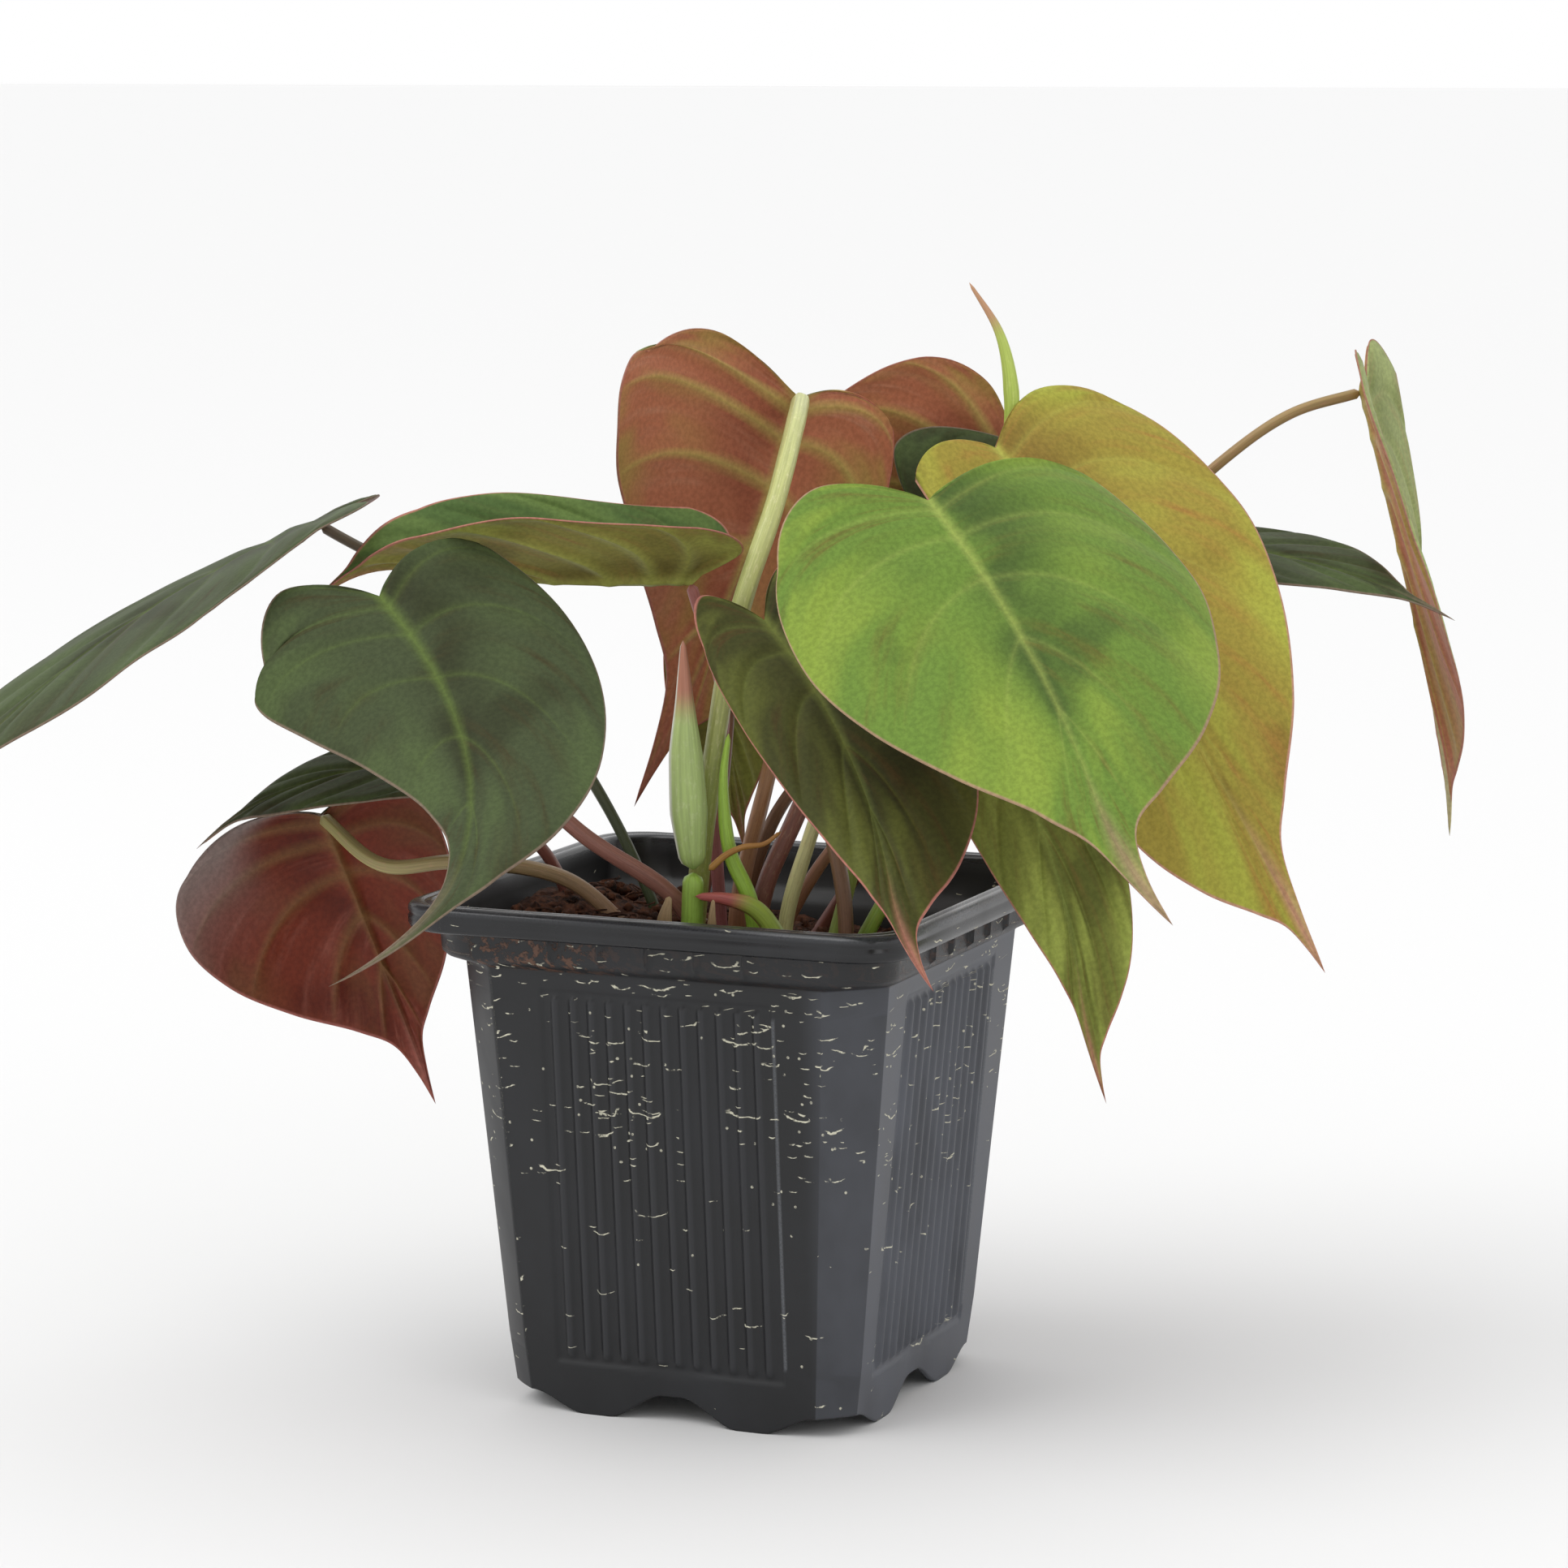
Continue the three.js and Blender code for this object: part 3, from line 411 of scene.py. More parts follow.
def grid_faces(rows, columns, closed=False, flip=False, start=0):
    """Quads over a grid of points, row by row. closed joins the last column to the first."""
    i, j = np.meshgrid(np.arange(rows - 1), np.arange(columns if closed else columns - 1), indexing="ij")
    k = (j + 1) % columns
    quads = np.stack([i * columns + j, i * columns + k, (i + 1) * columns + k, (i + 1) * columns + j], -1)
    quads = quads.reshape(-1, 4) + start
    return quads[:, ::-1] if flip else quads


# ---------- leaves ----------
# The blade's half outline, from the notch where the petiole meets it, round one lobe, to the tip.
HALF_OUTLINE = [
    (0, 0), (-0.07, 0.2), (-0.11, 0.48), (-0.04, 0.78), (0.12, 0.97), (0.3, 1),
    (0.48, 0.86), (0.64, 0.58), (0.76, 0.26), (0.83, 0.1), (0.91, 0.04), (1, 0),
]
DRIP_TIP_FROM = 0.72
MIDRIB_STEPS = 120
BLADE_THICKNESS = 0.55
EDGE_THICKNESS = 0.25
PRIMARY_VEINS = (0.16, 0.33, 0.46, 0.58, 0.69, 0.79)
ROWS = 96
COLUMNS = 26

# Every leaf, in the plant axes, with the same figures as its solid.
LEAVES = {
    "leaf_front": {
      "at": (30, -38, 156), "along": (5.1, -6.1, -6), "faces": (1.3, -6.4, 7.6), "length": 89, "width": 67,
      "sweep": 21, "tip_sweep": -31, "droop": 7, "tip_droop": 6, "twist": 6,
      "lobes": (0.3, 1.1), "halves": (1.2, 1), "belly": (1.15, 1.1), "curl": (-26, -24), "tone": "bright",
    },
    "leaf_right_large": {
      "at": (42.5, 0, 161.5), "along": (5.8, -4.1, -7.1), "faces": (3.6, -6.5, 6.7),
      "length": 105, "width": 62, "sweep": 2, "droop": 19, "tip_droop": -3, "twist": 19,
      "lobes": (0.65, 0.3), "halves": (1.17, 0.7), "belly": (1.2, 0.5), "curl": (-4, -13), "tone": "lime",
    },
    "leaf_front_low": {
      "at": (3.5, -24, 135), "along": (5.4, -6, -5.9), "faces": (0.2, -6.8, 7.3), "length": 82, "width": 39,
      "sweep": 35, "tip_sweep": -28, "droop": -2, "tip_droop": -8, "twist": 2,
      "lobes": (1, 1.1), "halves": (1.1, 0.7), "belly": (0.9, 1.15), "curl": (-14, -15), "tone": "olive",
    },
    "leaf_right_hanging": {
      "at": (37, -22, 124), "along": (5.6, -1.6, -8.1), "faces": (0.8, -9.6, 2.5), "length": 74, "width": 26,
      "sweep": 36, "tip_sweep": -22, "droop": 11, "tip_droop": 2,
      "halves": (0.9, 0.95), "belly": (0.6, 1.25), "curl": (-12, -2), "tone": "moss",
    },
    "leaf_top": {
      "at": (9.3, 26.5, 168), "along": (-3, -0.6, -9.5), "faces": (-2.8, 9.6, 0.3), "length": 77, "width": 64,
      "sweep": -16, "tip_sweep": 5, "droop": 17, "tip_droop": -8, "twist": -7,
      "lobes": (0.8, 0.4), "halves": (1.45, 0.7), "belly": (1.8, 1.05), "curl": (-33, -5), "lift": (-8, 9),
      "tone": "copper",
    },
    "leaf_top_back": {
      "at": (48, 50, 155), "along": (-7.6, 0.3, -6.5), "faces": (-0.5, 9.9, 1), "length": 69, "width": 55,
      "sweep": -8, "droop": 10, "lobes": (0.75, 1), "halves": (1.12, 1), "curl": (-15, -2), "tone": "copper",
    },
    "leaf_folded_left": {
      "at": (-9, -5, 140), "along": (-9.9, -0.8, -0.5), "faces": (-0.4, -1.2, 9.9), "length": 65, "width": 37,
      "droop": -15, "tip_droop": 60, "lobes": (1.2, 1), "halves": (1.2, 0.83), "belly": (0.75, 0.6),
      "lift": (38, 55), "tone": "moss",
    },
    "leaf_left_heart": {
      "at": (-59.4, -30, 139.6), "along": (5.8, -6.1, -5.4), "faces": (-1.4, -7.3, 6.7),
      "length": 104, "width": 45, "sweep": 55, "tip_sweep": 59, "droop": -39, "tip_droop": 25, "twist": 2,
      "lobes": (0.25, 1.1), "halves": (1.1, 1.2), "belly": (1.1, 2.4), "curl": (-25, -15), "tone": "dark",
    },
    "leaf_far_left": {
      "at": (-72.5, 6, 148.6), "along": (-9.1, -1, -3.9), "faces": (-4, 0.2, 9.2), "length": 92, "width": 59,
      "sweep": -36, "droop": 22, "twist": -18, "lobes": (0.9, 1.1), "halves": (1.14, 1.08),
      "belly": (1, 0.92), "curl": (-2, -10), "tone": "dark",
    },
    "leaf_low_left": {
      "at": (-48, 2, 107), "along": (-9.5, 0, 1), "faces": (0, -3, 9.5), "length": 51, "width": 27,
      "droop": 50, "tone": "dark",
    },
    "leaf_left_hanging": {
      "at": (-73.5, 14, 97), "along": (3.1, 3.3, -8.9), "faces": (-1.2, 9.5, 3.1), "length": 58, "width": 50,
      "droop": 17, "twist": 3, "lobes": (0.6, 0), "halves": (1.24, 0.75), "belly": (1.25, 1.25),
      "curl": (-29, -24), "tone": "brick",
    },
    "leaf_far_right": {
      "at": (109.2, 38, 168.5), "along": (2.4, -0.1, -9.6), "faces": (9.6, -1.5, 4.1),
      "length": 82, "width": 35, "sweep": -6, "tip_sweep": -8, "droop": 2, "tip_droop": 5, "twist": -32,
      "lobes": (0.9, 0.9), "belly": (0.65, 0.65), "lift": (19, 2), "tone": "copper",
    },
    "leaf_right_back": {
      "at": (78, 33, 142), "along": (8.8, -5, 0), "faces": (1, -2.5, 9.7), "length": 51, "width": 30,
      "droop": 25, "tone": "dark",
    },
    "leaf_back": {
      "at": (30, 41, 147), "along": (7.5, 0, -4), "faces": (1, -9, 2), "length": 78, "width": 40,
      "droop": 8, "tone": "dark",
    },
    "leaf_back_low": {
      "at": (-6, 33, 128), "along": (1, -0.5, -9.8), "faces": (-5, 8, 0), "length": 42, "width": 22,
      "droop": 10, "tone": "olive",
    },
}


VEIN_WIDTH = 1.2        # half width of a primary vein's soft edge, at the midrib
MIDRIB_WIDTH = 1.5      # half width of the midrib's soft edge, at the notch
MIDRIB_HEIGHT = 0.9     # how far the midrib stands out below, at the notch
SWELL = 0.45            # how far the blade stands up between two veins
PINK_TIP_FROM = 0.84
PAINTED_SHEEN_SIDE = {"leaf_left_hanging": 0}    # leaves with a painted reflection: a grey glossy sheen painted over one half of the blade
DRY_FROM = {"leaf_far_right": 0.86}      # leaves with a dried tip, and the outline share it starts at


def eased(x):
    x = np.clip(x, 0, 1)
    return x * x * (3 - 2 * x)


def rotate(vectors, axis, angle):
    """Turns unit vectors about a unit axis."""
    c, s = math.cos(angle), math.sin(angle)
    return [v * c + np.cross(axis, v) * s + axis * (axis @ v) * (1 - c) for v in vectors]


def unit(v):
    v = np.asarray(v, float)
    return v / np.linalg.norm(v)


def midrib_frames(leaf):
    """Place, along, right and up at each step of the midrib, from the notch to the tip."""
    along, up = unit(leaf["along"]), unit(leaf["faces"])
    right = unit(np.cross(along, up))
    up = np.cross(right, along)
    place = np.array(leaf["at"], float)
    step = leaf["length"] / MIDRIB_STEPS
    frames = []
    for k in range(MIDRIB_STEPS + 1):
        frames.append((place.copy(), along, right, up))
        in_tip = 1 / (1 - DRIP_TIP_FROM) if k / MIDRIB_STEPS >= DRIP_TIP_FROM else 0
        droop = leaf.get("droop", 0) + leaf.get("tip_droop", 0) * in_tip
        sweep = leaf.get("sweep", 0) + leaf.get("tip_sweep", 0) * in_tip
        for axis, degrees in ((1, -droop), (2, -sweep), (0, leaf.get("twist", 0))):
            about = (along, right, up)[axis]
            along, right, up = rotate((along, right, up), about, math.radians(degrees) / MIDRIB_STEPS)
        place = place + along * step
    return [np.array(column) for column in zip(*frames)]


def bend_blade(leaf, frames, a, b):
    """Carries flat blade points (a along, b to the right, in millimetres) onto the bent leaf."""
    k = np.clip(a / leaf["length"] * MIDRIB_STEPS, 0, MIDRIB_STEPS)
    low = np.minimum(k.astype(int), MIDRIB_STEPS - 1)
    w = (k - low)[..., None]
    place, along, right, up = (f[low] * (1 - w) + f[low + 1] * w for f in frames)
    side = (b >= 0).astype(int)
    start = np.radians(np.array(leaf.get("lift", (0, 0)), float))[side]
    bend = np.radians(np.array(leaf.get("curl", (0, 0)), float))[side] / (leaf["width"] / 2)
    bend = np.where(np.abs(bend) < 1e-6, 1e-6, bend)
    s = np.abs(b)
    end = start + bend * s
    out = (np.sin(end) - np.sin(start)) / bend
    rise = (np.cos(start) - np.cos(end)) / bend
    sign = np.where(b < 0, -1.0, 1.0)
    at = place + along * np.minimum(a, 0)[..., None] + right * (sign * out)[..., None] + up * rise[..., None]
    tilt = np.where(s > 0.3, end, 0)
    normal = up * np.cos(tilt)[..., None] - right * (sign * np.sin(tilt))[..., None]
    return at, normal


def vein_rows(leaf, side, t, share):
    """Flat blade points, in millimetres: each vein ends at its share t of the outline, and is given at
    each share of its own way there."""
    half = leaf["width"] / 2 * leaf.get("halves", (1, 1))[side]
    lobe = leaf.get("lobes", (1, 1))[side]
    belly = leaf.get("belly", (1, 1))[side]
    edge = catmull([(a, b, 0) for a, b in HALF_OUTLINE], t)[:, :2]
    edge[:, 0] = np.where(edge[:, 0] < 0, edge[:, 0] * lobe, np.maximum(edge[:, 0], 0) ** belly)
    foot = np.clip((t - 0.12) / 0.88, 0, 1) ** 2.4
    arch = np.sin(np.pi * np.clip(t / 0.9, 0, 1)) ** 2
    knee_a = foot + (edge[:, 0] - foot) * 0.4 - 0.13 * arch
    knee_b = edge[:, 1] * (0.5 + 0.22 * arch)
    u = share[None, :]
    a = (1 - u) ** 2 * foot[:, None] + 2 * u * (1 - u) * knee_a[:, None] + u**2 * edge[:, 0][:, None]
    b = 2 * u * (1 - u) * knee_b[:, None] + u**2 * edge[:, 1][:, None]
    return a * leaf["length"], b * half * (1 if side else -1)


def blade_rows():
    """Outline shares for the rows, close together at the primary veins."""
    even = np.linspace(0, 1, ROWS)
    near = np.array([v + d for v in PRIMARY_VEINS for d in (-0.008, -0.004, 0.004, 0.008)])
    return np.unique(np.concatenate([even, near, PRIMARY_VEINS]))


def make_leaf(name, leaf, upper, under):
    frames = midrib_frames(leaf)
    t = blade_rows()
    share = np.concatenate([[0, 0.012, 0.03], np.linspace(0.055, 0.95, COLUMNS - 6), [0.972, 0.988, 1]])
    rows, columns = len(t), len(share)
    verts, blade_uv, vein_uv, faces, kinds = [], [], [], [], []
    masks = {mask: [] for mask in LEAF_MASKS}
    seed = Vector((leaf["at"][0] * 0.37, leaf["at"][2] * 0.23, leaf["length"] * 0.11))
    for side in (0, 1):
        a, b = vein_rows(leaf, side, t, share)
        primary_a, primary_b = vein_rows(leaf, side, np.array(PRIMARY_VEINS), share)
        apart = np.hypot(a[:, None, :] - primary_a[None], b[:, None, :] - primary_b[None]).min(1)
        width = VEIN_WIDTH * (1.5 - 1.0 * share)[None, :]
        vein = np.clip(1 - apart / width, 0, 1) * (1 - share[None, :] ** 4)
        along = np.clip(a / leaf["length"], 0, 1)
        rib = np.clip(1 - np.abs(b) / (MIDRIB_WIDTH * (1.0 - 0.75 * along)), 0, 1)
        edge_gap = np.hypot(a - a[:, -1:], b - b[:, -1:])
        # The blade swells between its veins and waves a little towards its edge.
        span = leaf["width"] / 2
        swell = SWELL * np.clip(apart / (0.13 * span), 0, 1) ** 1.5
        swell *= np.clip(np.abs(b) / (0.15 * span), 0, 1) * np.clip(edge_gap / (0.25 * span), 0, 1)
        wave = np.array([[noise.noise(Vector((x / 17, y / 17, side)) + seed) for x, y in zip(*row)] for row in
                         zip(a, b)])
        swell = swell + wave * np.clip(np.abs(b) / span, 0, 1) ** 1.5
        at, normal = bend_blade(leaf, frames, a, b)
        at = at + normal * swell[..., None]
        half_thick = np.where(edge_gap < 1.2, EDGE_THICKNESS, BLADE_THICKNESS) / 2
        ridge = MIDRIB_HEIGHT * rib**0.7 * (1 - along) + 0.2 * vein
        dry = eased((t[:, None] - DRY_FROM.get(name, 2)) / 0.02) * np.ones_like(a)
        lobe_part = eased((0.6 - t[:, None]) / 0.3) * eased((t[:, None] - 0.05) / 0.1)
        painted_sheen = (PAINTED_SHEEN_SIDE.get(name) == side) * lobe_part * eased((share[None] - 0.25) / 0.3)
        for face in (1, -1):
            offset = half_thick - 0.2 * rib - 0.07 * vein if face > 0 else -half_thick - ridge
            start = len(verts)
            verts.extend((at + normal * offset[..., None]).reshape(-1, 3))
            masks["vein"].extend(vein.ravel())
            masks["rib"].extend((rib * (1 - 0.8 * along)).ravel())
            masks["edge"].extend(edge_gap.ravel())
            masks["tip"].extend(np.repeat(eased((t - PINK_TIP_FROM) / 0.14), columns))
            masks["dry"].extend(dry.ravel())
            masks["painted_sheen"].extend(painted_sheen.ravel())
            blade_uv.extend(np.stack([a, b], -1).reshape(-1, 2) / 100)
            vein_uv.extend(np.stack([np.broadcast_to(t[:, None] + 2 * side, a.shape),
                                     np.broadcast_to(share[None], a.shape)], -1).reshape(-1, 2))
            quads = grid_faces(rows, columns, flip=(side == 0) == (face > 0), start=start)
            faces.extend(quads.tolist())
            kinds.extend([0 if face > 0 else 1] * len(quads))
        # Closes the edge between the two faces.
        top = start - rows * columns
        for i in range(rows - 1):
            p, q = i * columns + columns - 1, (i + 1) * columns + columns - 1
            quad = [top + p, start + p, start + q, top + q]
            faces.append(quad if side else quad[::-1])
            kinds.append(0)
    piece = new_piece(f"{name}_blade", to_frame(verts), faces, [upper, under], name,
                      kinds, masks, {"blade": blade_uv, "veinwise": vein_uv})
    weld(piece, 0.02)
    return piece


def weld(piece, gap_mm):
    """Joins points that fall together, and drops the faces that vanish."""
    bm = bmesh.new()
    bm.from_mesh(piece.data)
    bmesh.ops.remove_doubles(bm, verts=bm.verts, dist=gap_mm * MM)
    bmesh.ops.dissolve_degenerate(bm, edges=bm.edges, dist=1e-7)
    bmesh.ops.recalc_face_normals(bm, faces=bm.faces)
    bm.to_mesh(piece.data)
    bm.free()
    piece.data.update()


# ---------- stems ----------
STEM_SIDES = 20


def make_stem(name, route, radii, material, node_name, flat=1.0, ridges=0.05):
    """A tapering stalk along a smooth route, with faint lengthwise ridges and closed round ends."""
    count = max(24, int(np.linalg.norm(np.diff(np.array(route, float), axis=0), axis=1).sum()))
    centres, length = even_curve(route, count)
    tangents = np.gradient(centres, axis=0)
    tangents /= np.linalg.norm(tangents, axis=1, keepdims=True)
    normal = unit(np.cross(tangents[0], (0.3, 1, 0.2)))
    share = np.linspace(0, 1, count)
    radius = np.interp(share, np.linspace(0, 1, len(radii)), radii)
    ends = np.minimum(share * length / (radii[0] + 0.01), (1 - share) * length / (radii[-1] + 0.01))
    radius = radius * np.sqrt(np.clip(1 - (1 - np.clip(ends, 0, 1)) ** 2, 0.02, 1))
    angles = np.linspace(0, 2 * np.pi, STEM_SIDES, endpoint=False)
    seed = Vector((route[0][0], route[0][1], length))
    verts, along, uv = [], [], []
    for k in range(count):
        normal = unit(normal - tangents[k] * (normal @ tangents[k]))
        binormal = np.cross(tangents[k], normal)
        lump = 1 + 0.06 * noise.noise(Vector((share[k] * length / 9, 0, 0)) + seed)
        r = radius[k] * lump * (1 + ridges * np.cos(5 * angles))
        wide, deep = np.outer(r * np.cos(angles), normal), np.outer(r * flat * np.sin(angles), binormal)
        verts.extend(centres[k] + wide + deep)
        along.extend([share[k]] * STEM_SIDES)
        uv.extend(np.stack([np.abs(angles / np.pi - 1), np.full(STEM_SIDES, share[k] * length / 10)], -1))
    faces = grid_faces(count, STEM_SIDES, closed=True).tolist()
    faces += [list(range(STEM_SIDES))[::-1], list(range((count - 1) * STEM_SIDES, count * STEM_SIDES))]
    return new_piece(name, to_frame(verts), faces, [material], node_name, points={"along": along},
                     uvs={"stem": uv})


PETIOLES = {
    "petiole_front": {
      "foot": (7.5, -14), "via": ((7, -14, 82), (11, -15, 97), (22, -14, 128), (27, -22, 147)),
      "leaf": "leaf_front", "radii": (1.3, 1.1),
    },
    "petiole_right_large": {
      "foot": (1.5, -8), "via": ((3.4, -8, 87), (8.5, -7, 99), (28, 2, 140)),
      "leaf": "leaf_right_large", "radii": (1.6, 1.2),
    },
    "petiole_front_low": {
      "foot": (17, -23), "via": ((16.6, -21, 89), (10, -17, 115)),
      "leaf": "leaf_front_low", "radii": (1.4, 1.1),
    },
    "petiole_right_hanging": {
      "foot": (15, -18), "via": ((22, -18, 84), (33, -15, 104)),
      "leaf": "leaf_right_hanging", "radii": (1.4, 1.1),
    },
    "petiole_top": {
      "foot": (-9, -8), "via": ((-6.5, -12, 100), (-1, -16, 134), (5, -10, 152), (8.5, 8, 164)),
      "leaf": "leaf_top", "radii": (1.8, 1.6),
    },
    "petiole_top_back": {
      "foot": (-1, 3), "via": ((-1.2, 3, 82), (3, 10, 100), (10, 34, 120), (27.5, 45.5, 142.5)),
      "leaf": "leaf_top_back", "radii": (1.5, 1.1),
    },
    "petiole_folded_left": {
      "foot": (-3.5, -3), "via": ((-5, -3, 103), (-3.5, -1, 118)),
      "leaf": "leaf_folded_left", "radii": (1.1, 1),
    },
    "petiole_left_heart": {
      "foot": (-5, -13.5), "via": ((-11, -14, 86), (-28, -17, 99), (-47, -24, 120)),
      "leaf": "leaf_left_heart", "radii": (1.5, 1.2),
    },
    "petiole_far_left": {
      "foot": (-13, 7), "via": ((-17, 8, 85), (-25, 10, 101), (-45, 13, 130)),
      "leaf": "leaf_far_left", "radii": (1, 0.9),
    },
    "petiole_low_left": {
      "foot": (-28, 14), "via": ((-34, 10, 90), (-42, 5, 99)),
      "leaf": "leaf_low_left", "radii": (1.1, 1),
    },
    "petiole_left_hanging": {
      "foot": (-15, -3), "via": ((-30, 0, 87.5), (-49, 2, 90.4), (-62, 4, 89.5)),
      "leaf": "leaf_left_hanging", "radii": (1.4, 1.2),
    },
    "petiole_far_right": {
      "foot": (4, 8), "via": ((14.7, 9, 91), (50, 22, 122), (71, 40, 143), (84, 39, 156), (96, 38, 164.5)),
      "leaf": "leaf_far_right", "radii": (1.1, 0.9),
    },
    "petiole_right_back": {
      "foot": (10, 16), "via": ((26, 14, 95), (54, 16, 120)),
      "leaf": "leaf_right_back", "radii": (1.2, 1),
    },
    "petiole_back": {
      "foot": (-2, 14), "via": ((5, 14, 96), (23, 33, 116), (34, 45, 136)),
      "leaf": "leaf_back", "radii": (1.2, 1),
    },
    "petiole_back_low": {
      "foot": (-9, 15), "via": ((-4, 20, 100), (-3, 27, 120)),
      "leaf": "leaf_back_low", "radii": (1, 0.9),
    },
}

SHOOTS = {
    "sheathed_shoot_stem": {
      "foot": (-8.5, -19), "via": ((-8.6, -19, 84), (-8.4, -19, 92)), "radii": (1.8, 1.8),
    },
    "second_shoot": {
      "foot": (3, -18), "via": ((1, -17, 87), (-2.3, -16, 95), (-3.4, -16, 107), (-2.5, -16, 115)),
      "radii": (1.4, 1.4, 1.1, 0.4),
    },
    "young_shoot": {
      "foot": (7, -23), "via": ((6, -23, 80.5), (2, -23, 86.5), (-3, -23, 88.2), (-8, -22.5, 88.6)),
      "radii": (1.7, 1.7, 1.5, 0.5),
    },
    "spike_stem": {
      "foot": (14, 3), "via": ((22, 6, 100), (38, 9, 140), (45, 10, 160)), "radii": (1.3, 1.1),
    },
}

SMALL_PIECES = {
    "sheath": {
      "route": ((-8.4, -19, 92.6), (-9, -19, 100), (-9.6, -19, 112), (-9.8, -19, 122), (-10, -19, 131)),
      "radii": (2.2, 3.3, 3, 1.6, 0.4), "flat": 0.7,
    },
    "rolled_leaf": {
      "route": ((45.1, 10, 160.6), (45.5, 10, 170), (43.5, 10.5, 180), (38.3, 12, 188.7)),
      "radii": (1, 1.4, 0.8, 0.25), "flat": 0.8,
    },
    "dry_scrap_left": {
      "route": ((-13.4, -19, 80.5), (-13.2, -19.4, 84), (-12.4, -19.2, 88)),
      "radii": (1.6, 1.3, 0.5), "flat": 0.35,
    },
    "dry_scrap_right": {
      "route": ((-5, -25.4, 80.5), (-5.2, -25.6, 84.4), (-5, -25.4, 88.5)),
      "radii": (0.9, 0.8, 0.3), "flat": 0.4,
    },
    "aerial_root": {
      "route": ((-5.8, -19.5, 92.5), (-3, -19.5, 95), (0, -20, 96.5), (3.4, -20, 97), (6.2, -19.5, 99)),
      "radii": (0.6, 0.5, 0.3), "flat": 1,
    },
}
ROOTED_DEPTH = 4                  # how deep each stem is rooted
SOIL_MIDDLE_Z = 76.5
SOIL_SLOPE = 0.1


def soil_height(x):
    return SOIL_MIDDLE_Z - SOIL_SLOPE * x


def petiole_route(stem):
    x, y = stem["foot"]
    route = [(x, y, soil_height(x) - ROOTED_DEPTH), *stem["via"]]
    if "leaf" in stem:
        place, _, _, up = (column[0] for column in midrib_frames(LEAVES[stem["leaf"]]))
        route.append(place - up * (stem["radii"][-1] * 0.8 + 0.2))
    return route


leaf_materials = {}
for tone in sorted({leaf["tone"] for leaf in LEAVES.values()}):
    leaf_materials[tone] = (
        leaf_material(f"velvet_leaf_{tone}", UPPER[tone], False),
        leaf_material(f"leaf_underside_{tone}", {**UNDER[tone], "margin": UNDER_MARGIN}, True),
    )
fern = leaf_material("velvet_leaf_fern", FERN, False)
for name, leaf in LEAVES.items():
    upper, under = leaf_materials[leaf["tone"]]
    make_leaf(name, leaf, fern if name == "leaf_folded_left" else upper, under)

# Foot, top and spot colours of each stem, and the record's slot for it.
STEM_COLOURS = {
    "petiole_front": ("#d8d29a", "#c9c47e", "#b7a070", "stem_green"),
    "petiole_right_large": ("#7d4c46", "#9a6a58", "#b08a72", "petiole_brown"),
    "petiole_front_low": ("#7c5a45", "#84664a", "#5f4436", "petiole_brown"),
    "petiole_right_hanging": ("#8fae3e", "#9ab552", "#a9a050", "stem_green"),
    "petiole_top": ("#a3ab58", "#c3c688", "#dcd8a6", "stem_green"),
    "petiole_top_back": ("#9a6b4c", "#a88a58", "#7f523f", "petiole_brown"),
    "petiole_folded_left": ("#a4646a", "#a86a62", "#8a4a4c", "petiole_brown"),
    "petiole_left_heart": ("#96675a", "#946356", "#784c42", "petiole_brown"),
    "petiole_far_left": ("#4a5a3c", "#5a4a3a", "#3a4430", "petiole_brown"),
    "petiole_low_left": ("#8a564c", "#84564c", "#6a3f38", "petiole_brown"),
    "petiole_left_hanging": ("#8c6652", "#a09a62", "#b58e70", "petiole_brown"),
    "petiole_far_right": ("#9c6c56", "#97804e", "#ae7a62", "stem_green"),
    "petiole_right_back": ("#8a564c", "#84664a", "#6a3f38", "petiole_brown"),
    "petiole_back": ("#7c5a45", "#84664a", "#5f4436", "petiole_brown"),
    "petiole_back_low": ("#8a564c", "#84664a", "#6a3f38", "petiole_brown"),
    "sheathed_shoot_stem": ("#86b03c", "#a2c455", "#7aa034", "stem_green"),
    "second_shoot": ("#9cc83e", "#b4d85c", "#8ab83a", "stem_green"),
    "young_shoot": ("#9dbb48", "#a5b450", "#8fa842", "stem_green"),
    "spike_stem": ("#9fb35a", "#a9bd64", "#8f9a50", "stem_green"),
}
# The young shoot is edged and tipped with pink.
YOUNG_TIPS = {"young_shoot": "#b8625c"}
for name, stem in {**PETIOLES, **SHOOTS}.items():
    low, high, spot, slot_name = STEM_COLOURS[name]
    top = YOUNG_TIPS.get(name)
    make_stem(f"{name}_stalk", petiole_route(stem), stem["radii"],
              stem_material(f"{name}_skin", low, high, spot, top, top), name)

# The same for the small pieces, with the colours of their upper ends and of a papery margin.
SMALL_COLOURS = {
    "sheath": ("#a9c070", "#b4c684", "#c6d29c", "new_growth", "#b47c66", "#e9ecdc"),
    "rolled_leaf": ("#9fb548", "#b0bd62", "#c0c878", "new_growth", "#b58a68", None),
    "aerial_root": ("#b98a48", "#b07a40", "#96683a", "root_bark", None, None),
    "dry_scrap_left": ("#8a6f4c", "#b59a72", "#6f573c", "dry_sheath", None, None),
    "dry_scrap_right": ("#8a6f4c", "#b59a72", "#6f573c", "dry_sheath", None, None),
}
for name, piece in SMALL_PIECES.items():
    low, high, spot, slot_name, top, pale_side = SMALL_COLOURS[name]
    make_stem(f"{name}_shape", piece["route"], piece["radii"],
              stem_material(f"{name}_skin", low, high, spot, top, pale_side), name,
              flat=piece.get("flat", 1.0), ridges=0.02)

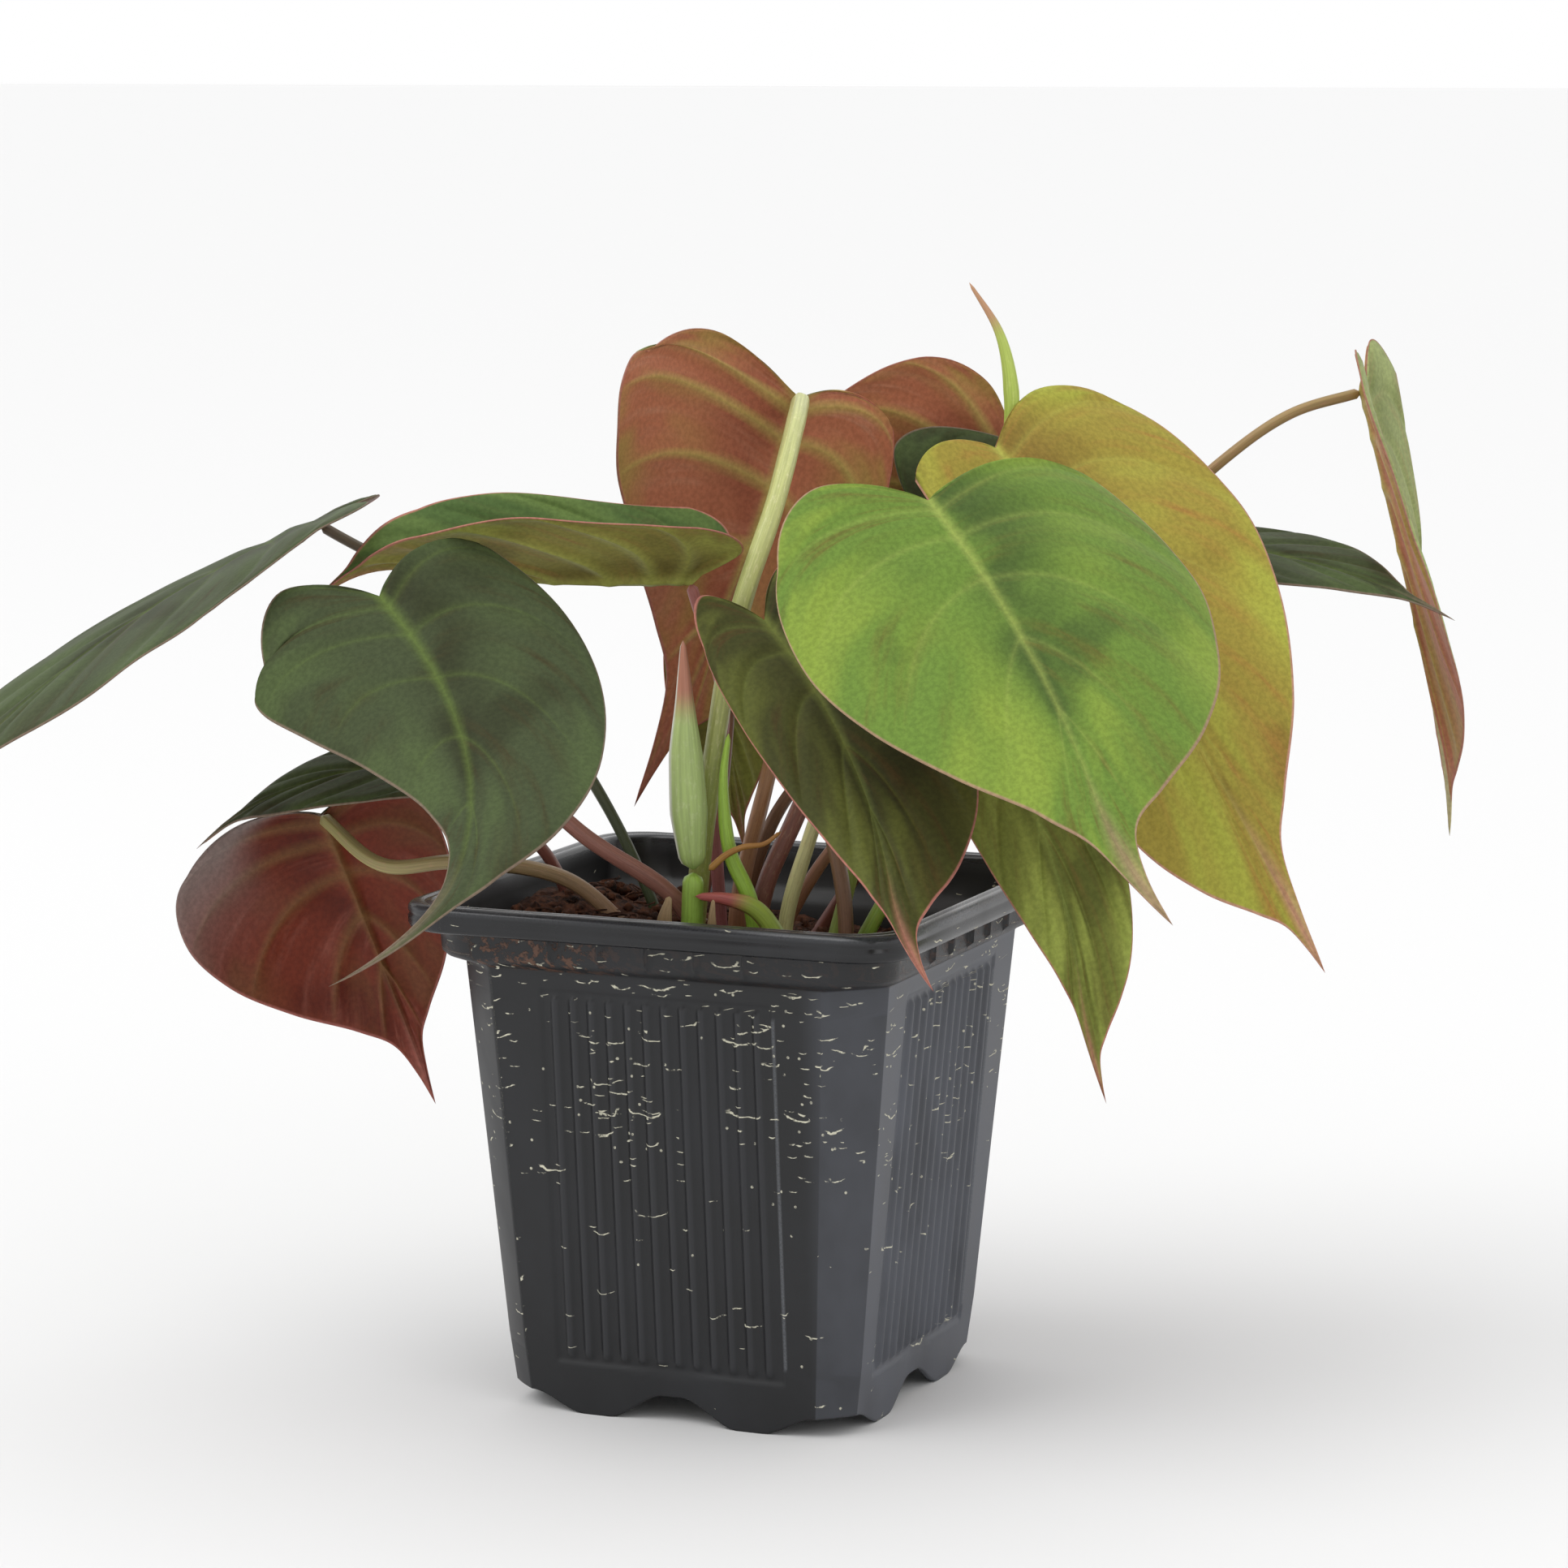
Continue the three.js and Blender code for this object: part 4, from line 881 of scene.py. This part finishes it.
# ---------- pot ----------
BODY_TOP_HALF, BODY_BOTTOM_HALF = 38.3, 31.2
BODY_TOP_Z = 77.0
CHAMFER_TOP, CHAMFER_BOTTOM = 8.3, 5.2
FLOOR_Z, FLOOR_THICKNESS = 7.5, 1.2
WALL = 1.0
PANEL_HALF = 21.0
RIBS, RIB_PITCH, RIB_WIDTH = 12, 3.3, 2.1


def body_half(z):
    return BODY_BOTTOM_HALF + (BODY_TOP_HALF - BODY_BOTTOM_HALF) * z / BODY_TOP_Z


def body_cut(z):
    return CHAMFER_BOTTOM + (CHAMFER_TOP - CHAMFER_BOTTOM) * z / BODY_TOP_Z


FINE_COLUMNS = np.arange(-66, 67) * 0.33
OUTER_SHARES = np.linspace(0.09, 0.96, 14)
CORNER_STEPS = 14
CORNER_MARK = 99.0         # stands for the place along its face of a column in a cut corner
EDGE_ROUNDING = 0.12       # 0 is a straight cut corner, 1 a round one


def wall_ring(half, cut, rounding):
    """One ring of the wall: points, outward normals, and each column's place along its face. The
    ribbed middle keeps its width in millimetres, and the plain borders take up the rest."""
    flat = half - cut
    reach = FINE_COLUMNS[-1]
    border = reach + (flat - reach) * OUTER_SHARES
    across = np.concatenate([-border[::-1], FINE_COLUMNS, border])
    points = [np.stack([across, np.full_like(across, -half)], 1)]
    normals = [np.tile([0.0, -1.0], (len(across), 1))]
    k = np.linspace(0, 1, CORNER_STEPS)
    angle = k * np.pi / 2
    straight = np.stack([flat + cut * k, -half + cut * k], 1)
    arc = np.stack([flat + cut * np.sin(angle), -half + cut - cut * np.cos(angle)], 1)
    points.append(straight * (1 - rounding) + arc * rounding)
    normals.append(np.stack([np.sin(angle), -np.cos(angle)], 1))
    quarter, facing = np.vstack(points), np.vstack(normals)
    along = np.concatenate([across, np.full(CORNER_STEPS, CORNER_MARK)])
    rings, facings = [], []
    for face in range(4):
        c, s = math.cos(face * math.pi / 2), math.sin(face * math.pi / 2)
        turn = np.array([[c, s], [-s, c]])
        rings.append(quarter @ turn)
        facings.append(facing @ turn)
    return np.vstack(rings), np.vstack(facings), np.tile(along, 4)


FOOT_FLAT = 26.0                   # half of a face's flat width at the foot
ARCH_HEIGHT, CORNER_HEIGHT = 4.6, 3.4
SKIRT_TOP_Z = 12.0


def foot_line(along, flat):
    """Height of the skirt's lower edge: eight feet, with an arch in each face and at each corner."""
    q = np.abs(along) * FOOT_FLAT / flat
    middle_arch = ARCH_HEIGHT * (1 - eased((q - 1.5) / 10.5))
    corner = CORNER_HEIGHT * eased((q - 16) / 10)
    return np.where(along == CORNER_MARK, CORNER_HEIGHT, np.maximum(middle_arch, corner))


def panel_relief(along, z):
    """How far the moulded ribs and the sunk panel around them stand out from the flat wall."""
    inside = eased((PANEL_HALF - np.abs(along)) / 0.6) * eased((z - 8.6) / 0.8) * eased((74.2 - z) / 0.8)
    nearest = (np.round(along / RIB_PITCH - 0.5) + 0.5) * RIB_PITCH
    on_rib = np.abs(nearest) < RIBS / 2 * RIB_PITCH
    crown = np.cos(np.clip((along - nearest) / RIB_WIDTH, -0.5, 0.5) * np.pi) * on_rib
    ends = eased((z - 9.6) / 1.2) * eased((73.2 - z) / 1.2)
    return -0.35 * inside + 0.7 * crown * ends


GUSSET_PITCH, GUSSET_HALF = 8.7, 0.55


def gusset_relief(along, z):
    """How far the small upright gussets stand out from the band under the rim."""
    nearest = np.round(along / GUSSET_PITCH) * GUSSET_PITCH
    near = np.clip(1 - np.abs(along - nearest) / GUSSET_HALF, 0, 1) * (np.abs(along) < 20)
    return 0.9 * near * eased((z - 78.8) / 0.6)


# Rings of the band under the rim: half width, corner cut, corner rounding, height.
BAND_RINGS = (
    (38.6, 8.3, 0.2, 77.2), (39.6, 8.5, 0.5, 77.6), (40.4, 8.6, 0.8, 78.2), (40.8, 8.6, 0.9, 78.9),
    (40.9, 8.6, 0.9, 79.6), (41.0, 8.6, 0.9, 81.2), (41.1, 8.6, 0.9, 82.6),
)
# Rings of the rolled rim, out and over: half width, corner cut, height.
RIM_RINGS = (
    (41.5, 8.7, 82.95), (43.0, 8.9, 83.0), (44.2, 9.0, 83.05), (44.75, 9.0, 83.4), (45.0, 9.0, 84.1),
    (45.0, 9.0, 85.1), (44.82, 9.0, 85.45), (44.82, 9.0, 85.8), (45.0, 9.0, 86.1), (44.95, 9.0, 86.8),
    (44.6, 8.9, 87.3), (44.0, 8.9, 87.5), (43.3, 8.8, 87.5), (42.95, 8.7, 87.3), (42.7, 8.7, 87.3),
    (42.4, 8.6, 87.45), (41.7, 8.5, 87.45), (41.2, 8.4, 87.2), (41.0, 8.3, 86.7),
)
# Rings inside the band: half width, corner cut, corner rounding, height.
INNER_RINGS = (
    (40.8, 8.3, 1.0, 84.0), (40.0, 8.3, 0.8, 80.4), (39.3, 8.2, 0.6, 79.2), (38.2, 8.0, 0.4, 78.2),
    (37.3, 7.7, 0.2, 77.0),
)
# Heights of the wall's rings, close together where the panel and its ribs begin and end.
LOW_RING_Z = (0, 0.5, 1.2, 2.4, 4, 6, 7.4, 8.2, 8.6, 9.0, 9.4, 9.9, 10.4, 11, 12, 14.5)
HIGH_RING_Z = (18, 24, 30, 36, 42, 48, 54, 60, 65, 69, 71, 72, 72.5, 73, 73.4, 73.8, 74.2, 74.8, 76, 76.8)
INSIDE_RING_Z = (74, 73, 72, 70, 60, 45, 30, 15, FLOOR_Z)


def pot_rings():
    """Each ring's half width, corner cut, corner rounding, height and kind: from the floor's underside
    down inside the skirt, up the outside, over the rim and down the inside to the floor."""
    rings = [(body_half(z) - WALL, body_cut(z), EDGE_ROUNDING, z, "skirt")
             for z in (FLOOR_Z - FLOOR_THICKNESS, 3.0, 0.4)]
    rings += [(body_half(0) - inset, CHAMFER_BOTTOM, EDGE_ROUNDING, 0.0, "skirt") for inset in (0.7, 0.25)]
    rings += [(body_half(z), body_cut(z), EDGE_ROUNDING, z, "skirt" if z < SKIRT_TOP_Z else "wall")
              for z in LOW_RING_Z]
    rings += [(body_half(z), body_cut(z), EDGE_ROUNDING, z, "wall") for z in HIGH_RING_Z]
    rings += [(*ring, "band") for ring in BAND_RINGS]
    rings += [(half, cut, 1.0, z, "rim") for half, cut, z in RIM_RINGS]
    rings += [(*ring, "inside") for ring in INNER_RINGS]
    rings += [(body_half(z) - WALL, body_cut(z) - 0.6, EDGE_ROUNDING, z, "inside") for z in INSIDE_RING_Z]
    return rings


FRONT, RIGHT = 0, 1         # the faces, in the order that a ring passes them


def ring_masks(kind, z, along, out):
    """Where one ring has wear and a painted highlight line, soil, lime, ribs with a painted highlight on
    their crowns, gloss, dust with a painted sheen, and painted shade inside, by column.
    """
    face = np.arange(len(along)) // (len(along) // 4)
    every = np.ones(len(along))
    outside = kind in ("wall", "skirt")
    worn_top = (kind == "rim") * eased((z - 86.2) / 0.8) * np.where(face == RIGHT, 0.75, 0.2)
    # Painted highlight: a light line down the right edge of each sunk panel, where its step faces the light.
    panel_line = 0.45 * (np.abs(along - PANEL_HALF) < 0.25) * (kind == "wall") * (10 < z < 72)
    front_corner = (face == FRONT) * eased((along - 25) / 6)
    left_end = eased((-2 - along) / 16) * (along != CORNER_MARK)
    lime = {"wall": 1.0, "skirt": 1.0, "band": 0.45}.get(kind, 0.06)
    return {
        "wear_and_highlight": np.clip(worn_top + panel_line, 0, 1),
        "band": np.where(face == FRONT, 0.1 + 0.9 * left_end, 0.3) * (kind == "band"),
        "upper": every * lime * (0.12 + 0.88 * eased((z - 30) / 30)),
        # Painted highlight on the rib crowns.
        "crown": np.clip(out / 0.25, 0, 1) * outside,
        "glossy": every * (kind == "rim"),
        # Grey film: partly dust, partly painted sheen on the faces that catch the light at a glance.
        "dust_and_sheen": (0.5 * front_corner + 0.9 * (face == RIGHT)) * outside,
        # Painted shade inside the pot.
        "inner": every * (kind == "inside"),
    }


def make_pot():
    verts, uv = [], []
    masks = {mask: [] for mask in POT_MASKS}
    for half, cut, rounding, z, kind in pot_rings():
        ring, facing, along = wall_ring(half, cut, rounding)
        height = np.full(len(ring), float(z))
        out = np.zeros(len(ring))
        if kind == "skirt":
            height = height + foot_line(along, half - cut) * (1 - z / SKIRT_TOP_Z)
        if kind in ("skirt", "wall") and z > 7:
            out = panel_relief(along, height)
        if kind == "band":
            out = gusset_relief(along, height)
        if kind == "inside" and z < 76:
            out = 0.5 * panel_relief(along, height)
        ring = ring + facing * out[:, None]
        verts.append(np.column_stack([ring, height]))
        steps = np.linalg.norm(np.diff(ring, axis=0, append=ring[:1]), axis=1)
        uv.append(np.column_stack([np.cumsum(steps) - steps[0], height]))
        for mask, values in ring_masks(kind, z, along, out).items():
            masks[mask].append(values)
    count = len(verts[0])
    faces = grid_faces(len(verts), count, closed=True)
    shell = new_piece("pot_shell", pot_to_frame(np.vstack(verts)), faces.tolist(), [pot_material()], "pot",
                      points={mask: np.concatenate(rows) for mask, rows in masks.items()},
                      uvs={"wall": np.vstack(uv)})
    bm = bmesh.new()
    bm.from_mesh(shell.data)
    bm.verts.ensure_lookup_table()
    first, last = list(bm.verts)[:count], list(bm.verts)[-count:]
    add_floor(bm, first, FLOOR_Z - FLOOR_THICKNESS, last)
    bmesh.ops.recalc_face_normals(bm, faces=bm.faces)
    bm.to_mesh(shell.data)
    bm.free()


DRAINS, DRAIN_SIDES = 8, 20
DRAIN_CIRCLE, DRAIN_RADIUS = 17.0, 3.0


def add_floor(bm, under_ring, under_z, upper_ring):
    """The floor between the skirt's ring and the inner wall's ring, with a circle of drain holes."""
    around = np.linspace(0, 2 * math.pi, DRAIN_SIDES, endpoint=False)
    rings = []
    for z in (under_z, FLOOR_Z):
        holes = []
        for k in range(DRAINS):
            middle = (k + 0.5) / DRAINS * 2 * math.pi
            x = DRAIN_CIRCLE * math.cos(middle) + DRAIN_RADIUS * np.cos(around)
            y = DRAIN_CIRCLE * math.sin(middle) + DRAIN_RADIUS * np.sin(around)
            circle = np.stack([x, y, np.full(DRAIN_SIDES, z)], 1)
            holes.append([bm.verts.new(p) for p in pot_to_frame(circle)])
        rings.append(holes)
    for outer, holes in ((under_ring, rings[0]), (upper_ring, rings[1])):
        edges = []
        for loop in [outer, *holes]:
            for a, b in zip(loop, loop[1:] + loop[:1]):
                edges.append(bm.edges.get((a, b)) or bm.edges.new((a, b)))
        bmesh.ops.triangle_fill(bm, use_beauty=True, edges=edges)
    for low_hole, high_hole in zip(*rings):
        for k in range(len(low_hole)):
            n = (k + 1) % len(low_hole)
            bm.faces.new((low_hole[k], low_hole[n], high_hole[n], high_hole[k]))


make_pot()


# ---------- compost ----------
LUMPS, FIBRES, PERLITE_GRAINS = 420, 170, 26
COMPOST_FOOT_Z = 9.0
FIBRE_LIMITS = ((0, 6.28), (4, 9), (0.12, 0.22))     # heading, length and radius of a fibre


def make_compost():
    """The top of the root ball: lumps, crumbs and fibres of coir over a closed block, with a few
    white grains of perlite."""
    rng = np.random.default_rng(7)
    rings, columns = 46, 168
    angles = np.linspace(0, 2 * np.pi, columns, endpoint=False)
    half, cut = body_half(78) - WALL - 0.3, CHAMFER_TOP - 0.6
    reach = np.minimum(half / np.maximum(np.abs(np.cos(angles)), np.abs(np.sin(angles))),
                       (2 * half - cut) / (np.abs(np.cos(angles)) + np.abs(np.sin(angles))))
    verts = []
    for share in np.linspace(0, 1, rings) ** 0.8:
        for angle, r in zip(angles, reach * share):
            x, y = r * math.cos(angle), r * math.sin(angle)
            px, py = turned((x, y, 0), -PLANT_TURN)[:2]
            mound = 5.0 * math.exp(-((px + 27) ** 2 + (py - 10) ** 2) / 420)
            lumps = 1.6 * noise.fractal(Vector((x / 9, y / 9, 3.0)), 0.9, 2.0, 5)
            crumbs = 0.9 * abs(noise.noise(Vector((x / 1.6, y / 1.6, 7.0))))
            verts.append((x, y, soil_height(px) + mound + lumps + crumbs - 0.6))
    top = len(verts)
    faces = grid_faces(rings, columns, closed=True).tolist()
    low = body_half(10) - WALL - 0.3
    for angle, r in zip(angles, reach * low / half):
        verts.append((r * math.cos(angle), r * math.sin(angle), COMPOST_FOOT_Z))
    for j in range(columns):
        k = (j + 1) % columns
        faces.append((top - columns + j, top - columns + k, top + k, top + j))
    faces.append(tuple(range(top, top + columns))[::-1])
    verts = [np.array(v) for v in verts]
    kinds = [0] * len(faces)

    grid = {}
    for v in verts[:top]:
        grid[(round(v[0] / 2), round(v[1] / 2))] = v[2]

    def surface(x, y):
        return grid.get((round(x / 2), round(y / 2)), soil_height(x))

    def add_lump(centre, size, kind):
        bm = bmesh.new()
        bmesh.ops.create_icosphere(bm, subdivisions=2, radius=1.0)
        offset = Vector(rng.uniform(-50, 50, 3))
        squash = rng.uniform(0.6, 1.1, 3)
        base = len(verts)
        for v in bm.verts:
            rough = 1 + 0.55 * noise.noise(v.co * 1.6 + offset)
            verts.append(np.array(v.co) * size * squash * rough + centre)
        for f in bm.faces:
            faces.append([base + v.index for v in f.verts])
            kinds.append(kind)
        bm.free()

    def add_fibre(start, heading, length, radius):
        steps, sides = 7, 5
        turn = rng.uniform(-0.5, 0.5)
        rise = rng.uniform(0.1, 0.5)
        base = len(verts)
        place = np.array(start, float)
        for k in range(steps):
            direction = np.array([math.cos(heading), math.sin(heading), rise * (1 - 2 * k / steps)])
            side = unit(np.cross(direction, (0, 0, 1)))
            up = unit(np.cross(side, direction))
            for a in np.linspace(0, 2 * np.pi, sides, endpoint=False):
                verts.append(place + radius * (math.cos(a) * side + math.sin(a) * up))
            place = place + unit(direction) * length / steps
            heading += turn
        new = grid_faces(steps, sides, closed=True, start=base).tolist()
        last = base + (steps - 1) * sides
        new += [list(range(base, base + sides))[::-1], list(range(last, last + sides))]
        faces.extend(new)
        kinds.extend([0] * len(new))

    def spot(margin=2.0):
        while True:
            x, y = rng.uniform(-half + margin, half - margin, 2)
            if abs(x) + abs(y) < 2 * half - cut - 2 * margin:
                return x, y

    for _ in range(LUMPS):
        x, y = spot()
        add_lump((x, y, surface(x, y) + 0.2), rng.uniform(0.4, 1.5), 0)
    for _ in range(FIBRES):
        x, y = spot(5.0)
        heading, length, radius = (rng.uniform(*limits) for limits in FIBRE_LIMITS)
        add_fibre((x, y, surface(x, y) + 0.3), heading, length, radius)
    for _ in range(PERLITE_GRAINS):
        x, y = spot()
        add_lump((x, y, surface(x, y) + 0.5), rng.uniform(0.3, 0.8), 1)
    perlite, tree, shader = new_material("perlite", Roughness=0.9)
    shade = cloudy(tree, node(tree, "ShaderNodeTexCoord").outputs["Object"], 900.0)
    tree.links.new(mixed(tree, shade, linear("#b9b3a4"), linear("#f1eee6")), shader.inputs["Base Color"])
    new_piece("compost_surface", pot_to_frame(verts), faces, [compost_material(), perlite], "compost",
              kinds)


make_compost()


# ---------- studio ----------
FLOOR_HALF = 30.0


def make_studio():
    floor_mesh = bpy.data.meshes.new("floor")
    corners = [(x * FLOOR_HALF, y * FLOOR_HALF, 0) for x, y in ((-1, -1), (1, -1), (1, 1), (-1, 1))]
    floor_mesh.from_pydata(corners, [], [(0, 1, 2, 3)])
    floor = bpy.data.objects.new("floor", floor_mesh)
    bpy.context.scene.collection.objects.link(floor)
    paper, _, shader = new_material("white_studio_paper", Roughness=0.9)
    shader.inputs["Base Color"].default_value = linear("#e4e4e4")
    floor_mesh.materials.append(paper)

    world = bpy.data.worlds.new("studio")
    bpy.context.scene.world = world
    world.use_nodes = True
    background = world.node_tree.nodes["Background"]
    background.inputs["Color"].default_value = (1.0, 1.0, 1.0, 1)
    background.inputs["Strength"].default_value = 1.0

    # One very soft distant light for the even white ground, then two softboxes for the modelling.
    daylight = bpy.data.lights.new("diffuse_daylight", "SUN")
    daylight.energy, daylight.angle = 0.8, math.radians(50)
    sky_lamp = bpy.data.objects.new("diffuse_daylight", daylight)
    sky_lamp.rotation_mode = "QUATERNION"
    sky_lamp.rotation_quaternion = Vector((0.45, 0.55, -1.0)).to_track_quat("-Z", "Y")
    bpy.context.scene.collection.objects.link(sky_lamp)

    # Name, place seen from the pot, size in metres, power in watts.
    softboxes = (
        ("key_softbox", (-0.9, -1.3, 1.5), 0.9, 5.0),
        ("fill_softbox", (1.4, -1.1, 0.9), 0.9, 3.0),
    )
    aim = Vector(pot_to_frame((0, 0, 110)))
    for name, place, side, power in softboxes:
        light = bpy.data.lights.new(name, "AREA")
        light.shape, light.size, light.energy = "SQUARE", side, power
        lamp = bpy.data.objects.new(name, light)
        lamp.location = aim + Vector(place)
        lamp.rotation_mode = "QUATERNION"
        lamp.rotation_quaternion = (aim - lamp.location).to_track_quat("-Z", "Y")
        bpy.context.scene.collection.objects.link(lamp)


make_studio()

# The camera stands a little above the rim, 22.6 degrees round to the right of the pot's front.
CAMERA_AZIMUTH, CAMERA_ELEVATION = math.radians(22.6), math.radians(8.3)
CAMERA_DISTANCE = 0.853
CAMERA_LENS_MM, CAMERA_SENSOR_MM = 115.36, 36.0
camera_data = bpy.data.cameras.new("camera")
camera_data.lens = CAMERA_LENS_MM
camera_data.sensor_width = CAMERA_SENSOR_MM
camera_data.clip_start, camera_data.clip_end = 0.05, 100.0
camera = bpy.data.objects.new("camera", camera_data)
bpy.context.scene.collection.objects.link(camera)
camera_aim = Vector(pot_to_frame((7.3, 0.0, 104.6)))
camera_back = Vector((
    math.sin(CAMERA_AZIMUTH) * math.cos(CAMERA_ELEVATION),
    -math.cos(CAMERA_AZIMUTH) * math.cos(CAMERA_ELEVATION),
    math.sin(CAMERA_ELEVATION),
))
camera.location = camera_aim + camera_back * CAMERA_DISTANCE
camera.rotation_mode = "QUATERNION"
camera.rotation_quaternion = (-camera_back).to_track_quat("-Z", "Y")
bpy.context.scene.camera = camera
bpy.context.scene.view_settings.view_transform = "Standard"

bpy.context.view_layer.update()
